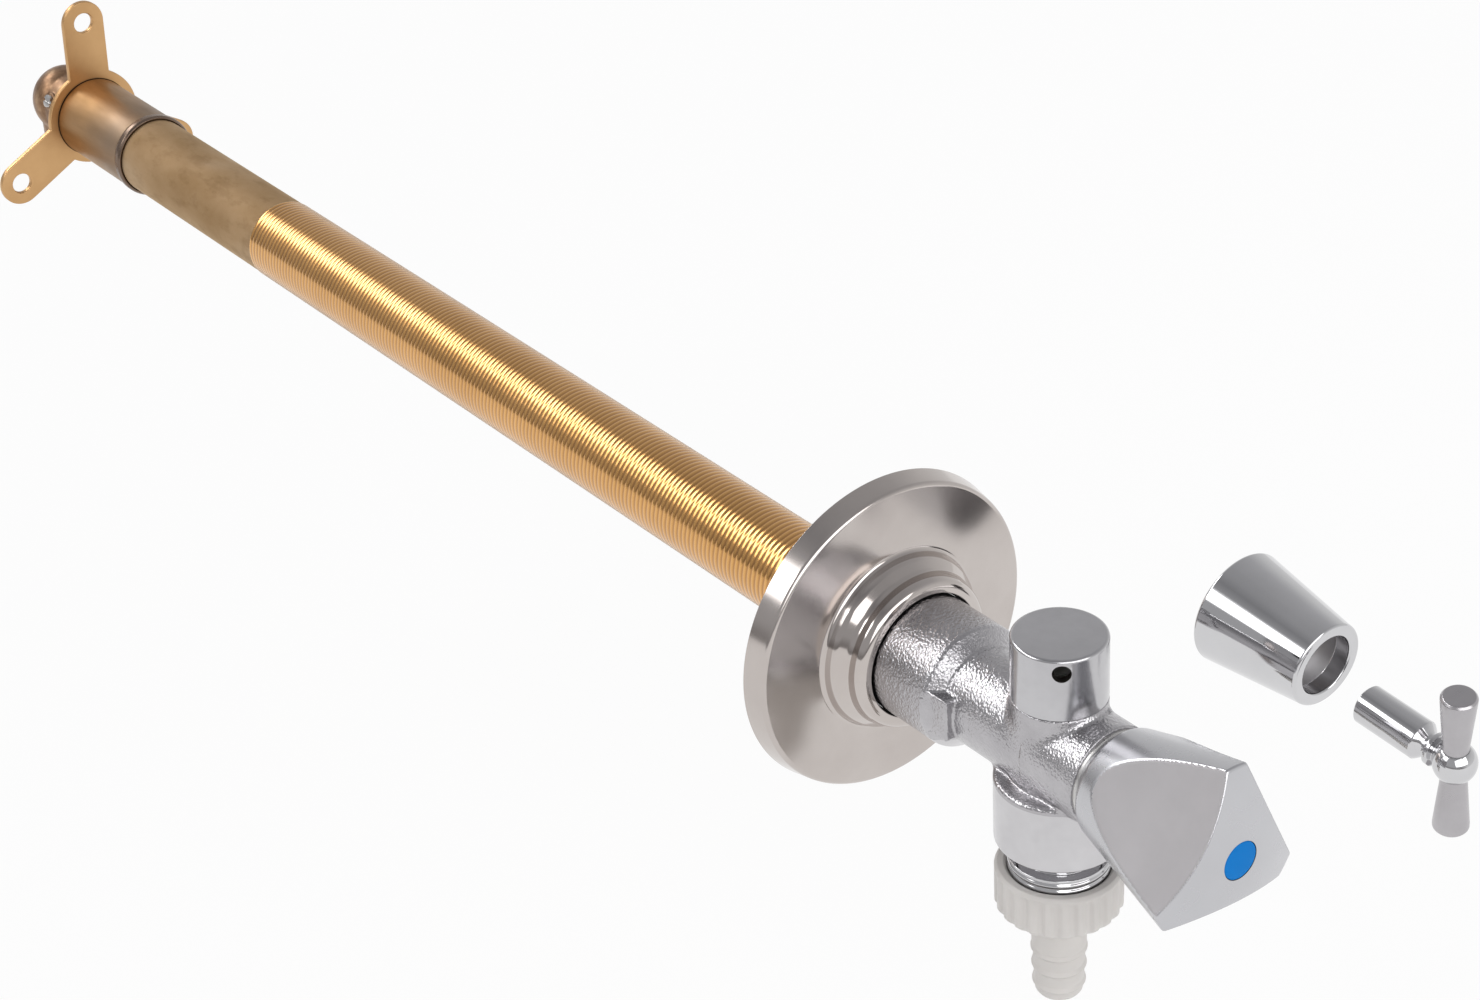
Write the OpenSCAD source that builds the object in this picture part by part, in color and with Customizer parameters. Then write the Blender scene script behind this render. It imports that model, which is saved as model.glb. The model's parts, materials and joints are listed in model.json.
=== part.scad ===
// Frost free sillcock: a through-wall garden tap whose valve sits at the warm end of a long tube.
// The tap axis runs along Y. The origin is on that axis, in the plane of the wall's outside face.
// Handle and spout are in front of the wall (-Y), tube and inlet behind it (+Y), +Z is up.
// Lengths along the axis are written as s, the distance in front of the wall's outside face.

/* [Tube] */
// Outer diameter over the pipe thread of the tube
thread_d = 26.44; // [25:0.02:28]
// Outer diameter of the plain rear end of the tube
plain_d = 26; // [24:0.1:28]
// Bore of the tube
tube_bore_d = 21; // [19:0.1:22]
// Distance from the wall's outside face to the front of the rear plate
wall_reach = 433.2; // [360:0.1:600]
// Length of the threaded stretch behind the wall's outside face
thread_len = 302; // [150:1:340]
// Pitch of the thread
thread_pitch = 1.814; // [1.4:0.001:2.4]
// Depth of the thread
thread_depth = 0.55; // [0.3:0.05:1.2]
// Share of the pitch that is flat on the thread's crest
thread_flat = 0.45; // [0.1:0.05:0.7]
// Depth to which the tube is screwed into the neck of the tap
tube_grip = 18; // [12:0.5:20]

/* [Rear sleeve] */
// Length of the sleeve in front of the rear plate
sleeve_len = 45; // [42:0.5:60]
// Wall of the sleeve around the tube
sleeve_wall = 0.8; // [0.7:0.05:2]
// Depth of the tube in the sleeve
tube_socket = 13; // [8:0.5:16]
// Width of the rolled lip at the front of the sleeve
lip_w = 3.2; // [2:0.1:5]
// Height of the rolled lip above the sleeve
lip_h = 0.45; // [0.2:0.05:1]

/* [Wall plate] */
// Thickness of the plate
plate_t = 2; // [1.5:0.1:3]
// Diameter of the round flange of the plate
flange_d = 34; // [31:0.5:44]
// Number of ears
ears = 3; // [2:1:4]
// Diameter of the circle through the screw holes
hole_circle_d = 69.8; // [60:0.1:90]
// Diameter of the screw holes
hole_d = 7; // [4:0.1:8]
// Width of an ear
ear_w = 15.4; // [12:0.1:18]
// Turn of the plate from upright, in degrees
plate_turn = -3; // [-30:1:30]

/* [Inlet elbow] */
// Diameter of the shoulder against the plate
elbow_shoulder_d = 27; // [26:0.5:31]
// Thickness of that shoulder
elbow_shoulder_t = 2; // [1.5:0.1:4]
// Diameter of the level leg of the elbow
elbow_leg_d = 22.6; // [21:0.1:24]
// Diameter of the ball at the bend
elbow_ball_d = 24.4; // [23.5:0.1:27]
// Distance from the back of the plate to the bend
elbow_offset = 18.3; // [16:0.1:30]
// Distance from the bend down to the socket's mouth
elbow_drop = 18.5; // [16.5:0.1:40]
// Water way through the elbow
elbow_way_d = 12; // [9:0.1:13]
// Bore of the pipe socket
socket_d = 15.1; // [14:0.05:18.2]
// Depth of the pipe socket
socket_depth = 12; // [8:0.1:14]
// Wall of the pipe socket
socket_wall = 2.5; // [1.5:0.1:4]
// Diameter of the head of the test screw
test_head_d = 4.4; // [4:0.1:6]
// Direction of the test screw around the axis, in degrees from +X
test_turn = 154; // [120:1:180]
// Distance of the test screw behind the plate
test_offset = 12.1; // [9:0.1:13]

/* [Valve] */
// Water way through the valve seat
seat_d = 10; // [9:0.1:12]
// Wall of the seat's raised lip
seat_lip_wall = 1.2; // [0.8:0.1:1.5]
// Height of the seat's raised lip
seat_lip_h = 1; // [0.6:0.1:2]
// Lift of the valve piston
valve_lift = 5; // [3:0.1:6]
// Width across the flats of the piston
piston_af = 10.8; // [9.5:0.1:11.5]
// Length of the guide bush
guide_len = 9; // [7:0.1:10]
// Thickness of the guide bush's flange
guide_flange_t = 2; // [1.2:0.1:2.5]
// Diameter of the water holes in the guide bush
guide_hole_d = 2.6; // [1.5:0.1:2.8]
// Number of water holes in the guide bush
guide_holes = 6; // [3:1:8]
// Thickness of the piston's head
head_t = 5; // [4:0.1:8]
// Diameter of the piston's head and its washer
washer_d = 15.4; // [14.4:0.1:17]
// Thickness of the washer
washer_t = 3; // [2:0.1:4]
// Diameter of the stem's thread
stem_d = 6; // [5:0.1:6.4]
// Diameter of the stem's socket
stem_head_d = 12; // [11:0.1:14]
// Length of the stem's socket
stem_head_len = 16; // [14:0.1:20]
// Diameter of the drive rod
rod_d = 8; // [6.5:0.1:8.4]
// Depth of the rod in the sockets at its ends
rod_grip = 10; // [8:0.1:11]
// Diameter of the rod's pins
pin_d = 2.5; // [1.5:0.1:3]

/* [Rosette] */
// Diameter of the rosette's rim on the wall
rosette_d = 88.8; // [80:0.1:100]
// Draft of the rim, on the radius
rim_draft = 1.3; // [0.5:0.1:3]
// Height of the rim
rim_h = 6.7; // [4:0.1:9]
// Rise of the rosette's face from rim to hub
face_rise = 1.2; // [0.4:0.1:2]
// Rounding of the rim's front edge
rim_round = 1.4; // [0.5:0.1:2]
// Diameter of the hub
hub_d = 48.2; // [46:0.1:56]
// Width of the slope at the foot of the hub
hub_foot = 1.5; // [0.8:0.1:2.5]
// Rounding of the hub's and the collar's front edges
hub_round = 2; // [1.3:0.1:3]
// Height of the hub in front of the face
hub_h = 4.6; // [3:0.1:6]
// Height of the collar in front of the hub
collar_h = 6.4; // [5.4:0.1:8]
// Thickness of the sheet
sheet_t = 1.2; // [0.8:0.1:1.6]
// Thickness of the rubber ring in the collar
ring_t = 3.2; // [2.6:0.1:3.6]
// Width of the gap between the collar and the neck
collar_gap = 0.6; // [0.4:0.1:1]

/* [Tap body] */
// Diameter of the neck
neck_d = 34; // [32:0.1:38]
// Start of the neck in front of the wall's outside face
neck_start = 1; // [0.5:0.1:3]
// End of the neck, where the shoulder to the barrel starts
neck_end = 37.5; // [36:0.1:42]
// Length of the shoulder between neck and barrel
shoulder_len = 3.8; // [2:0.1:6]
// Width across the two spanner flats
flats_w = 31; // [29:0.1:32]
// Height of the spanner flats
flats_h = 12; // [8:0.1:12.6]
// End of the spanner flats in front of the shoulder's start
flats_len = 7.8; // [5:0.1:10]
// Diameter of the barrel behind the spout
barrel_d = 26.5; // [25:0.1:28]
// Diameter of the barrel in front of the spout
nose_d = 27.2; // [26:0.1:29]
// Distance of the spout axis from the wall's outside face
spout_reach = 70; // [68:0.1:90]
// Length of the barrel in front of the spout axis
nose_len = 18.6; // [17:0.1:30]
// Height of the breaker boss above the axis
boss_h = 14.9; // [14.4:0.1:22]
// Diameter of the breaker boss and its cap
boss_d = 24.3; // [24:0.1:28]
// Diameter of the outlet collar
outlet_d = 33; // [31:0.1:36]
// Depth of the collar's cast top face below the axis
outlet_top = 8.6; // [7:0.1:12]
// Depth of the collar's underside below the axis
outlet_drop = 28; // [25:0.1:32]
// Rounding of the collar's lower edge
outlet_round = 1.2; // [0.6:0.1:4]
// Water way through the tap body
way_d = 18; // [17:0.1:18.4]

/* [Vacuum breaker] */
// Height of the breaker cap
cap_h = 17.7; // [16:0.1:24]
// Wall of the cap
cap_wall = 1.5; // [1:0.1:2]
// Rounding of the cap's top edge
cap_round = 0.9; // [0.3:0.1:2]
// Diameter of the vent holes
vent_d = 4.8; // [3:0.1:5]
// Depth of the vent holes below the cap's top
vent_drop = 3.7; // [3.6:0.1:8]
// Number of vent holes
vents = 3; // [1:1:6]
// Direction of the first vent hole, in degrees from +X
vent_turn = -130; // [-180:1:180]
// Diameter of the cap's rubber ring section
cap_ring_t = 1.9; // [1.4:0.1:2]
// Thickness of the float
float_t = 3.4; // [2.4:0.1:4]
// Lift of the float
float_lift = 2.9; // [2:0.1:4]
// Thickness of the air seat
air_seat_t = 2; // [1.5:0.1:3]
// Diameter of the hole in the air seat
air_hole_d = 7; // [5:0.1:9]

/* [Outlet] */
// Diameter over the outlet's pipe thread
outlet_thread_d = 26.44; // [25:0.02:28]
// Length of the outlet's thread
outlet_thread_len = 10.6; // [10.2:0.1:14]
// Diameter of the nipple's neck under the collar
nipple_neck_d = 21; // [20.4:0.1:23]
// Open height of that neck
nipple_gap = 4.8; // [4:0.1:9]
// Length of the nipple's shank in the collar
nipple_grip = 7; // [5:0.1:9]
// Bore of the nipple
nipple_bore_d = 17; // [16:0.1:17.4]
// Lift of the check valve
check_lift = 3; // [2:0.1:3.6]
// Diameter of the union nut
nut_d = 33; // [31.5:0.1:36]
// Height of the nut above the washer's underside
nut_cover = 9.1; // [8:0.1:12]
// Thickness of the nut's floor
nut_floor_t = 2; // [1.5:0.1:3]
// Number of grip ribs on the nut
nut_ribs = 24; // [12:1:36]
// Depth of the grooves between the ribs
rib_depth = 0.7; // [0.4:0.1:1]
// Thickness of the hose washer
hose_washer_t = 2; // [1.5:0.1:3]
// Thickness of the hose tail's flange
tail_flange_t = 2; // [1.5:0.1:3]
// Outer diameter of the hose tail's shank
tail_d = 14.2; // [12:0.1:15]
// Bore of the hose tail
tail_bore_d = 9.6; // [7:0.1:10]
// Length of the hose tail below the nut
tail_len = 28; // [24:0.1:44]
// Taper of the hose tail from one ridge to the next, on the radius
tail_taper = 0.2; // [0:0.05:0.3]
// Number of ridges on the hose tail
tail_ridges = 3; // [2:1:5]
// Pitch of the ridges
ridge_pitch = 5.4; // [4:0.1:7]
// Height of the ridges
ridge_h = 0.5; // [0.3:0.05:1]

/* [Handle] */
// Length of the handle
handle_len = 42.1; // [38:0.1:55]
// Diameter of the handle at its rear, before rounding
handle_rear_d = 29; // [28:0.1:34]
// Rounding of the handle's rear edge
handle_round = 2.2; // [1:0.1:3]
// Diameter over the handle's corners
handle_front_d = 48.4; // [44:0.1:56]
// Height of the handle's domed front
dome_h = 4.4; // [3:0.1:7]
// Radius of the dished sides
scoop_r = 105; // [80:1:160]
// Least distance of a dished side from the axis
scoop_floor = 13; // [12:0.1:14]
// Distance of that place from the handle's rear
scoop_place = 32.8; // [30:0.1:38]
// Turn of the handle from upright, in degrees
handle_turn = -5; // [-30:0.1:30]
// Wall of the handle's hollow rear
handle_wall = 2; // [1.5:0.1:3]
// Depth of the handle's hollow rear
handle_hollow = 12; // [6:0.1:14]
// Diameter of the blue disc
disc_d = 10.4; // [9:0.1:12]
// Thickness of the blue disc
disc_t = 1.6; // [1:0.1:2.4]

/* [Headwork] */
// Diameter of the headwork in the barrel
headwork_d = 20.8; // [19:0.1:21.4]
// Depth of the headwork in the barrel
headwork_len = 9; // [8:0.1:9.6]
// Diameter of the headwork's flange
headwork_flange_d = 25.8; // [24:0.1:27]
// Thickness of that flange
headwork_flange_t = 1.2; // [1:0.1:2]
// Diameter of the spindle
spindle_d = 10; // [9.2:0.1:10.6]
// Diameter of the spindle's rear collar
spindle_collar_d = 13; // [12:0.1:15]
// Length of that collar
spindle_collar_len = 12; // [11.5:0.1:14]
// Width across the flats of the spindle's square
square_af = 6.8; // [6:0.1:6.9]
// Length of the square
square_len = 19; // [12:0.1:20]
// Section of the spindle's rubber rings
spindle_ring_t = 1.4; // [1:0.1:1.6]
// Thickness of the spindle's clip
clip_t = 1.2; // [0.8:0.1:1.4]
// Diameter of the handle screw
handle_screw_d = 4; // [3:0.1:4]

/* [Winter set] */
// Sideways place of the cover and the key
set_x = 75.4; // [68:0.1:120]
// Distance of the cover's wide end from the wall's outside face
cover_s = 55.7; // [30:0.1:90]
// Lean of the cover and the key to the front, in degrees
set_tilt = 4.2; // [0:0.1:8]
// Gap of the cover around the nose of the tap
cover_gap = 0.4; // [0.3:0.05:0.8]
// Wall of the cover
cover_wall = 2; // [1.4:0.1:2.4]
// Length of the cover
cover_len = 32.3; // [26:0.1:40]
// Diameter of the cover's narrow end
cover_narrow_d = 23.6; // [21.5:0.1:26]
// Hole in the cover's narrow end
cover_hole_d = 16.8; // [14:0.1:17]
// Open distance between the cover and the key
set_gap = 14.2; // [10:0.1:60]
// Drop of the key below the cover's axis
key_drop = 3.3; // [0:0.1:6]
// Roll of the key about its own axis, in degrees
key_roll = 6; // [-30:0.1:30]
// Diameter of the key's shank
key_shank_d = 10.7; // [10:0.1:12]
// Length of the key's shank
key_shank_len = 19.5; // [15:0.1:24]
// Diameter of the key's ball
key_ball_d = 11.4; // [11:0.1:15]
// Distance from the shank to the ball's centre
key_neck_len = 9.9; // [9:0.1:12]
// Height over the key's arms
key_bar_len = 38.6; // [32:0.1:56]
// Diameter of the arms' ends
key_arm_end_d = 9.7; // [8.5:0.1:12]
// Diameter of the arms at the ball
key_arm_base_d = 6.8; // [6:0.1:7.4]

/* [Fits] */
// Clearance of a running fit, on the radius
run_gap = 0.06; // [0.02:0.01:0.1]
// Clearance between pieces that are fixed together
seat_gap = 0.05; // [0.02:0.01:0.1]
// Clearance of pieces that move past each other
free_gap = 0.5; // [0.3:0.05:0.8]

/* [Hidden] */
$fn = 96;
eps = 0.01;

// Stations of the warm end, from the plate forward
plate_s = -wall_reach;
plate_back_s = plate_s - plate_t;
sleeve_s = plate_s + sleeve_len;
tube_end_s = sleeve_s - tube_socket;
guide_end_s = tube_end_s - guide_len;
head_s = guide_end_s - valve_lift - free_gap;
head_back_s = head_s - head_t;
washer_back_s = head_back_s - washer_t;
seat_s = washer_back_s - seat_gap;
piston_s = tube_end_s + guide_flange_t;
stem_shoulder_s = piston_s + valve_lift + free_gap;
stem_tip_s = guide_end_s + 0.7;
piston_bore_s = stem_tip_s - valve_lift - free_gap;
stem_front_s = stem_shoulder_s + stem_head_len;
bend_s = plate_back_s - elbow_offset;
test_s = plate_s - test_offset;

// Stations of the cold end
tube_front_s = neck_start + tube_grip;
gasket_t = 2;
shoulder_s = tube_front_s + gasket_t;
barrel_start_s = neck_end + shoulder_len;
front_s = spout_reach + nose_len;
headwork_s = front_s - headwork_len;
headwork_front_s = front_s + headwork_flange_t;
collar_front_s = headwork_s - run_gap;
spindle_s = collar_front_s - spindle_collar_len;
clip_s = headwork_front_s + run_gap;
square_s = clip_s + clip_t + 1.2;
square_end_s = square_s + square_len;
handle_s = headwork_front_s + free_gap;
apex_s = handle_s + handle_len;
corner_s = apex_s - dome_h;

// Rosette stations
hub_s = rim_h + face_rise;
hub_front_s = hub_s + hub_h;
lip_s = hub_front_s + collar_h;
rim_lean = atan(rim_draft/rim_h);
face_lean = atan(face_rise/(rosette_d/2 - rim_draft - rim_round - hub_d/2));

// Radii shared by pieces that fit each other
chamber_r = tube_bore_d/2 + 0.1;
sleeve_r = plain_d/2 + seat_gap + sleeve_wall;
ring_in_r = neck_d/2 + run_gap;
collar_in_r = ring_in_r + ring_t + seat_gap;
headwork_bore_r = headwork_d/2 + seat_gap;
spindle_bore_r = spindle_d/2 + run_gap;
dome_r = (pow(handle_front_d/2, 2) + pow(dome_h, 2))/(2*dome_h);

// Heights on the spout axis
boss_z = boss_h;
cap_top_z = boss_z + cap_h;
seat_flange_t = 1.5;
air_seat_z = boss_z + seat_flange_t;
float_z = air_seat_z - float_lift - float_t - 2*seat_gap;
collar_z = -outlet_drop;
rim_z = collar_z - nipple_gap;
nipple_z = rim_z - outlet_thread_len;
tail_flange_z = nipple_z - hose_washer_t;
nut_floor_z = tail_flange_z - tail_flange_t;
nut_z = nut_floor_z - nut_floor_t;
nut_top_z = tail_flange_z + nut_cover;
nut_bore_r = outlet_thread_d/2 + run_gap;
tail_z = nut_z - tail_len;
tail_r = tail_d/2;
check_z = rim_z + 3;

// Solid of revolution about the tap axis, from points given as radius and s
module lathe(points) {
  rotate([90, 0, 0])
    rotate_extrude()
      polygon(points);
}

// Solid of revolution about the spout axis, from points given as radius and height
module upright(points) {
  translate([0, -spout_reach, 0])
    rotate_extrude()
      polygon(points);
}

// Puts a shape drawn along +Z onto the tap axis at station s, pointing to the front
module at_s(s) {
  translate([0, -s, 0])
    rotate([90, 0, 0])
      children();
}

// Plain rod on the tap axis between two stations
module rod(r, s0, s1) {
  at_s(s0)
    cylinder(r = r, h = s1 - s0);
}

// Plain rod on the spout axis between two heights
module post(r, z0, z1) {
  translate([0, -spout_reach, z0])
    cylinder(r = r, h = z1 - z0);
}

// Rubber ring of round section, lying in its own plane
module o_ring(inner_r, section) {
  rotate_extrude()
    translate([inner_r + section/2, 0])
      circle(d = section, $fn = 32);
}

// Six-sided bar along +Z, given across its flats
module hex_bar(af, h) {
  cylinder(d = af/cos(30), h = h, $fn = 6);
}

// Points of a round corner of radius r about a centre, from angle a0 to a1
function round_corner(centre, r, a0, a1, steps = 6) =
  [for (i = [0:steps]) centre + r*[cos(a0 + (a1 - a0)*i/steps), sin(a0 + (a1 - a0)*i/steps)]];

// Outline of a thread, drawn as one ring for each turn from a start along its axis
function thread_outline(r, start, turns) =
  [for (i = [0:turns - 1], p = [[0, 0], [thread_flat, 0], [(1 + thread_flat)/2, thread_depth]])
    [r - p[1], start + (i + p[0])*thread_pitch]];

// Tube and rear sleeve

// The thread is plain inside the neck of the tap
module outer_tube() {
  turns = floor((thread_len + neck_start)/thread_pitch);
  color("goldenrod")
    lathe(concat(
      [[tube_bore_d/2, tube_end_s], [plain_d/2, tube_end_s], [plain_d/2, -thread_len]],
      thread_outline(thread_d/2, -thread_len, turns),
      [[thread_d/2, -thread_len + turns*thread_pitch], [thread_d/2, tube_front_s],
       [tube_bore_d/2, tube_front_s]]));
}

module rear_sleeve() {
  lip_r = sleeve_r + lip_h;
  socket_r = plain_d/2 + seat_gap;
  socket_floor_s = tube_end_s - guide_flange_t;
  color("peru")
    lathe([[chamber_r, plate_s], [sleeve_r, plate_s], [sleeve_r, sleeve_s - lip_w],
           [lip_r, sleeve_s - 0.7*lip_w], [lip_r, sleeve_s - 0.3*lip_w], [sleeve_r, sleeve_s],
           [socket_r, sleeve_s], [socket_r, socket_floor_s], [chamber_r, socket_floor_s]]);
}

module wall_plate() {
  color("peru")
    at_s(plate_back_s)
      linear_extrude(plate_t)
        difference() {
          union() {
            circle(d = flange_d);
            for (i = [0:ears - 1])
              rotate(90 + plate_turn + 360*i/ears) {
                translate([0, -ear_w/2])
                  square([hole_circle_d/2, ear_w]);
                translate([hole_circle_d/2, 0])
                  circle(d = ear_w);
              }
          }
          circle(r = chamber_r);
          for (i = [0:ears - 1])
            rotate(90 + plate_turn + 360*i/ears)
              translate([hole_circle_d/2, 0])
                circle(d = hole_d);
        }
}

// Inlet elbow, with the valve seat on its nose and the pipe socket facing down

module sleeve_ring_groove(r) {
  ring_s = plate_s + 2.2;
  at_s(ring_s - 0.8)
    difference() {
      cylinder(r = chamber_r + 1, h = 1.6);
      translate([0, 0, -1])
        cylinder(r = r, h = 4);
    }
}

module inlet_elbow() {
  nose_r = chamber_r - seat_gap;
  lip_r = seat_d/2 + seat_lip_wall;
  mouth_r = socket_d/2 + socket_wall;
  boss_r = test_head_d/2 + 0.9;
  boss_len = elbow_leg_d/2 + 0.5;
  color("saddlebrown")
    difference() {
      union() {
        rod(nose_r, plate_back_s - 1, seat_s - seat_lip_h);
        rod(lip_r, seat_s - seat_lip_h - 1, seat_s);
        rod(elbow_shoulder_d/2, plate_back_s - elbow_shoulder_t, plate_back_s);
        rod(elbow_leg_d/2, bend_s, plate_back_s - 1);
        translate([0, -bend_s, 0])
          sphere(d = elbow_ball_d);
        translate([0, -bend_s, -elbow_drop])
          cylinder(r = mouth_r, h = elbow_drop);
        translate([0, -test_s, 0])
          rotate([0, 90 - test_turn, 0])
            cylinder(r = boss_r, h = boss_len);
      }
      rod(seat_d/2, bend_s, seat_s + 1);
      rod(elbow_way_d/2, bend_s, seat_s - seat_lip_h - 6);
      translate([0, -bend_s, -elbow_drop])
        cylinder(d = elbow_way_d, h = elbow_drop);
      translate([0, -bend_s, 0])
        sphere(d = elbow_way_d);
      translate([0, -bend_s, -elbow_drop - 1])
        cylinder(d = socket_d, h = socket_depth + 1);
      translate([0, -test_s, 0])
        rotate([0, 90 - test_turn, 0])
          cylinder(r = test_head_d/4 + seat_gap, h = boss_len + 1);
      sleeve_ring_groove(nose_r - 1.1);
    }
}

module sleeve_ring() {
  ring_s = plate_s + 2.2;
  section = 1.1;
  color("black")
    at_s(ring_s)
      o_ring(chamber_r - seat_gap - section, section);
}

module test_screw() {
  boss_len = elbow_leg_d/2 + 0.5;
  head_t = 1;
  shank_len = boss_len - elbow_way_d/2;
  slot_w = 0.9;
  color("tan")
    translate([0, -test_s, 0])
      rotate([0, 90 - test_turn, 0])
        difference() {
          union() {
            translate([0, 0, boss_len])
              cylinder(d = test_head_d, h = head_t);
            translate([0, 0, boss_len - shank_len])
              cylinder(d = test_head_d/2, h = shank_len + eps);
          }
          translate([-slot_w/2, -test_head_d, boss_len + head_t/2])
            cube([slot_w, 2*test_head_d, head_t]);
        }
}

// Valve inside the rear sleeve

module valve_guide() {
  flange_r = plain_d/2;
  hex_af_here = piston_af + 2*run_gap;
  hole_place_r = (hex_af_here/2/cos(30) + tube_bore_d/2)/2;
  color("darkgoldenrod")
    difference() {
      union() {
        rod(flange_r, tube_end_s - guide_flange_t, tube_end_s);
        rod(chamber_r - seat_gap, guide_end_s, tube_end_s - eps);
      }
      at_s(guide_end_s - 1)
        hex_bar(hex_af_here, guide_len + 2);
      for (i = [0:guide_holes - 1])
        at_s(guide_end_s - 1)
          rotate(30 + 360*i/guide_holes)
            translate([hole_place_r, 0, 0])
              cylinder(d = guide_hole_d, h = guide_len + 2, $fn = 24);
    }
}

module valve_piston() {
  screw_hole_r = stem_d/4 + seat_gap;
  color("darkgoldenrod")
    difference() {
      union() {
        at_s(head_s - eps)
          hex_bar(piston_af, piston_s - head_s + eps);
        rod(washer_d/2, head_back_s, head_s);
      }
      rod(stem_d/2 + run_gap, piston_bore_s, piston_s + 1);
      rod(screw_hole_r, head_back_s - 1, head_s - 1);
    }
}

module seat_washer() {
  color("black")
    difference() {
      rod(washer_d/2, washer_back_s, head_back_s);
      rod(stem_d/4 + seat_gap, washer_back_s - 1, head_back_s + 1);
    }
}

module washer_screw() {
  screw_head_t = 2;
  slot_w = 1;
  screw_r = stem_d/4;
  color("silver")
    difference() {
      union() {
        rod(seat_d/2 - 1.6, washer_back_s - screw_head_t, washer_back_s);
        rod(screw_r, washer_back_s - eps, head_s - 1.2);
      }
      at_s(washer_back_s - screw_head_t - 1)
        translate([-seat_d, -slot_w/2, 0])
          cube([2*seat_d, slot_w, 1.9]);
    }
}

module stem() {
  socket_s = stem_front_s - rod_grip;
  pin_s = stem_front_s - rod_grip/2;
  color("darkgoldenrod")
    difference() {
      union() {
        rod(stem_d/2, stem_tip_s, stem_shoulder_s + eps);
        rod(stem_head_d/2, stem_shoulder_s, stem_front_s);
      }
      rod(rod_d/2 + seat_gap, socket_s, stem_front_s + 1);
      cross_pin_hole(pin_s);
    }
}

// Drive rod with its cross pins

module cross_pin_hole(s) {
  translate([0, -s, 0])
    rotate([0, 90, 0])
      cylinder(d = pin_d + 2*seat_gap, h = neck_d, center = true);
}

module drive_rod() {
  rear_s = stem_front_s - rod_grip + seat_gap;
  front_end_s = spindle_s + rod_grip - seat_gap;
  color("goldenrod")
    difference() {
      rod(rod_d/2, rear_s, front_end_s);
      cross_pin_hole(stem_front_s - rod_grip/2);
      cross_pin_hole(spindle_s + rod_grip/2);
    }
}

module rod_pins() {
  color("silver") {
    translate([0, -(stem_front_s - rod_grip/2), 0])
      rotate([0, 90, 0])
        cylinder(d = pin_d, h = stem_head_d, center = true);
    translate([0, -(spindle_s + rod_grip/2), 0])
      rotate([0, 90, 0])
        cylinder(d = pin_d, h = spindle_collar_d, center = true);
  }
}

// Tap body

module tube_gasket() {
  color("black")
    difference() {
      rod(thread_d/2, tube_front_s, shoulder_s);
      rod(tube_bore_d/2, tube_front_s - 1, shoulder_s + 1);
    }
}

// Neck, shoulder, barrel and nose as one turned bar
module body_bar() {
  nose_edge = 0.6;
  lathe([[0, neck_start], [neck_d/2, neck_start], [neck_d/2, neck_end], [barrel_d/2, barrel_start_s],
         [barrel_d/2, spout_reach], [nose_d/2, spout_reach], [nose_d/2, front_s - nose_edge],
         [nose_d/2 - nose_edge, front_s], [0, front_s]]);
}

// Pads with the two spanner flats, which stand out of the shoulder's sides
module spanner_pads() {
  at_s(neck_end)
    translate([0, 0, flats_len/2])
      cube([flats_w, flats_h, flats_len], center = true);
}

// Breaker boss, outlet collar and the throat between them
module spout_stack() {
  boss_edge = 0.3;
  top_edge = 0.8;
  upright(concat(
    [[0, boss_z], [0, collar_z]],
    round_corner([outlet_d/2 - outlet_round, collar_z + outlet_round], outlet_round, -90, 0),
    [[outlet_d/2, -outlet_top - top_edge], [outlet_d/2 - top_edge, -outlet_top], [boss_d/2, -outlet_top],
     [boss_d/2, boss_z - boss_edge], [boss_d/2 - boss_edge, boss_z]]));
}

module tap_body() {
  boss_bore_r = way_d/2 - 0.5;
  ring_seat_r = boss_bore_r + cap_ring_t;
  color("lightgray")
    difference() {
      union() {
        body_bar();
        spanner_pads();
        spout_stack();
      }
      rod(thread_d/2 + seat_gap, neck_start - 1, shoulder_s);
      rod(tube_bore_d/2 - 1, shoulder_s - 1, headwork_s + 1);
      rod(headwork_bore_r, headwork_s, front_s + 1);
      post(boss_bore_r, 0, boss_z + 1);
      post(ring_seat_r, boss_z - cap_ring_t, boss_z + 1);
      post(way_d/2, collar_z + nipple_grip + gasket_t - 1, 0);
      post(nipple_neck_d/2 + seat_gap, collar_z - 1, collar_z + nipple_grip + gasket_t);
    }
}

// Rosette and its rubber ring

// Outline of the pressed sheet, moved in by t
function rosette_outline(t) = concat(
  [[rosette_d/2 - t, 0]],
  round_corner([rosette_d/2 - rim_draft - rim_round, rim_h - rim_round], rim_round - t,
               rim_lean, 90 - face_lean),
  [[hub_d/2 + hub_foot - t, hub_s - hub_foot*tan(face_lean) - t], [hub_d/2 - t, hub_s + 1 - t]],
  round_corner([hub_d/2 - hub_round, hub_front_s - hub_round], hub_round - t, 0, 90),
  [[collar_in_r + sheet_t + hub_foot/2 - t, hub_front_s - t]],
  round_corner([collar_in_r + sheet_t - hub_round, lip_s - hub_round], hub_round - t, 0, 90));

module rosette() {
  hole_r = neck_d/2 + collar_gap;
  inner = rosette_outline(sheet_t);
  color("gainsboro")
    lathe(concat(
      rosette_outline(0),
      [[hole_r, lip_s], [hole_r, lip_s - sheet_t]],
      [for (i = [len(inner) - 1:-1:0]) inner[i]]));
}

module rosette_ring() {
  ring_s = lip_s - sheet_t - seat_gap - ring_t/2;
  color("black")
    at_s(ring_s)
      o_ring(ring_in_r, ring_t);
}

// Vacuum breaker

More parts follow.
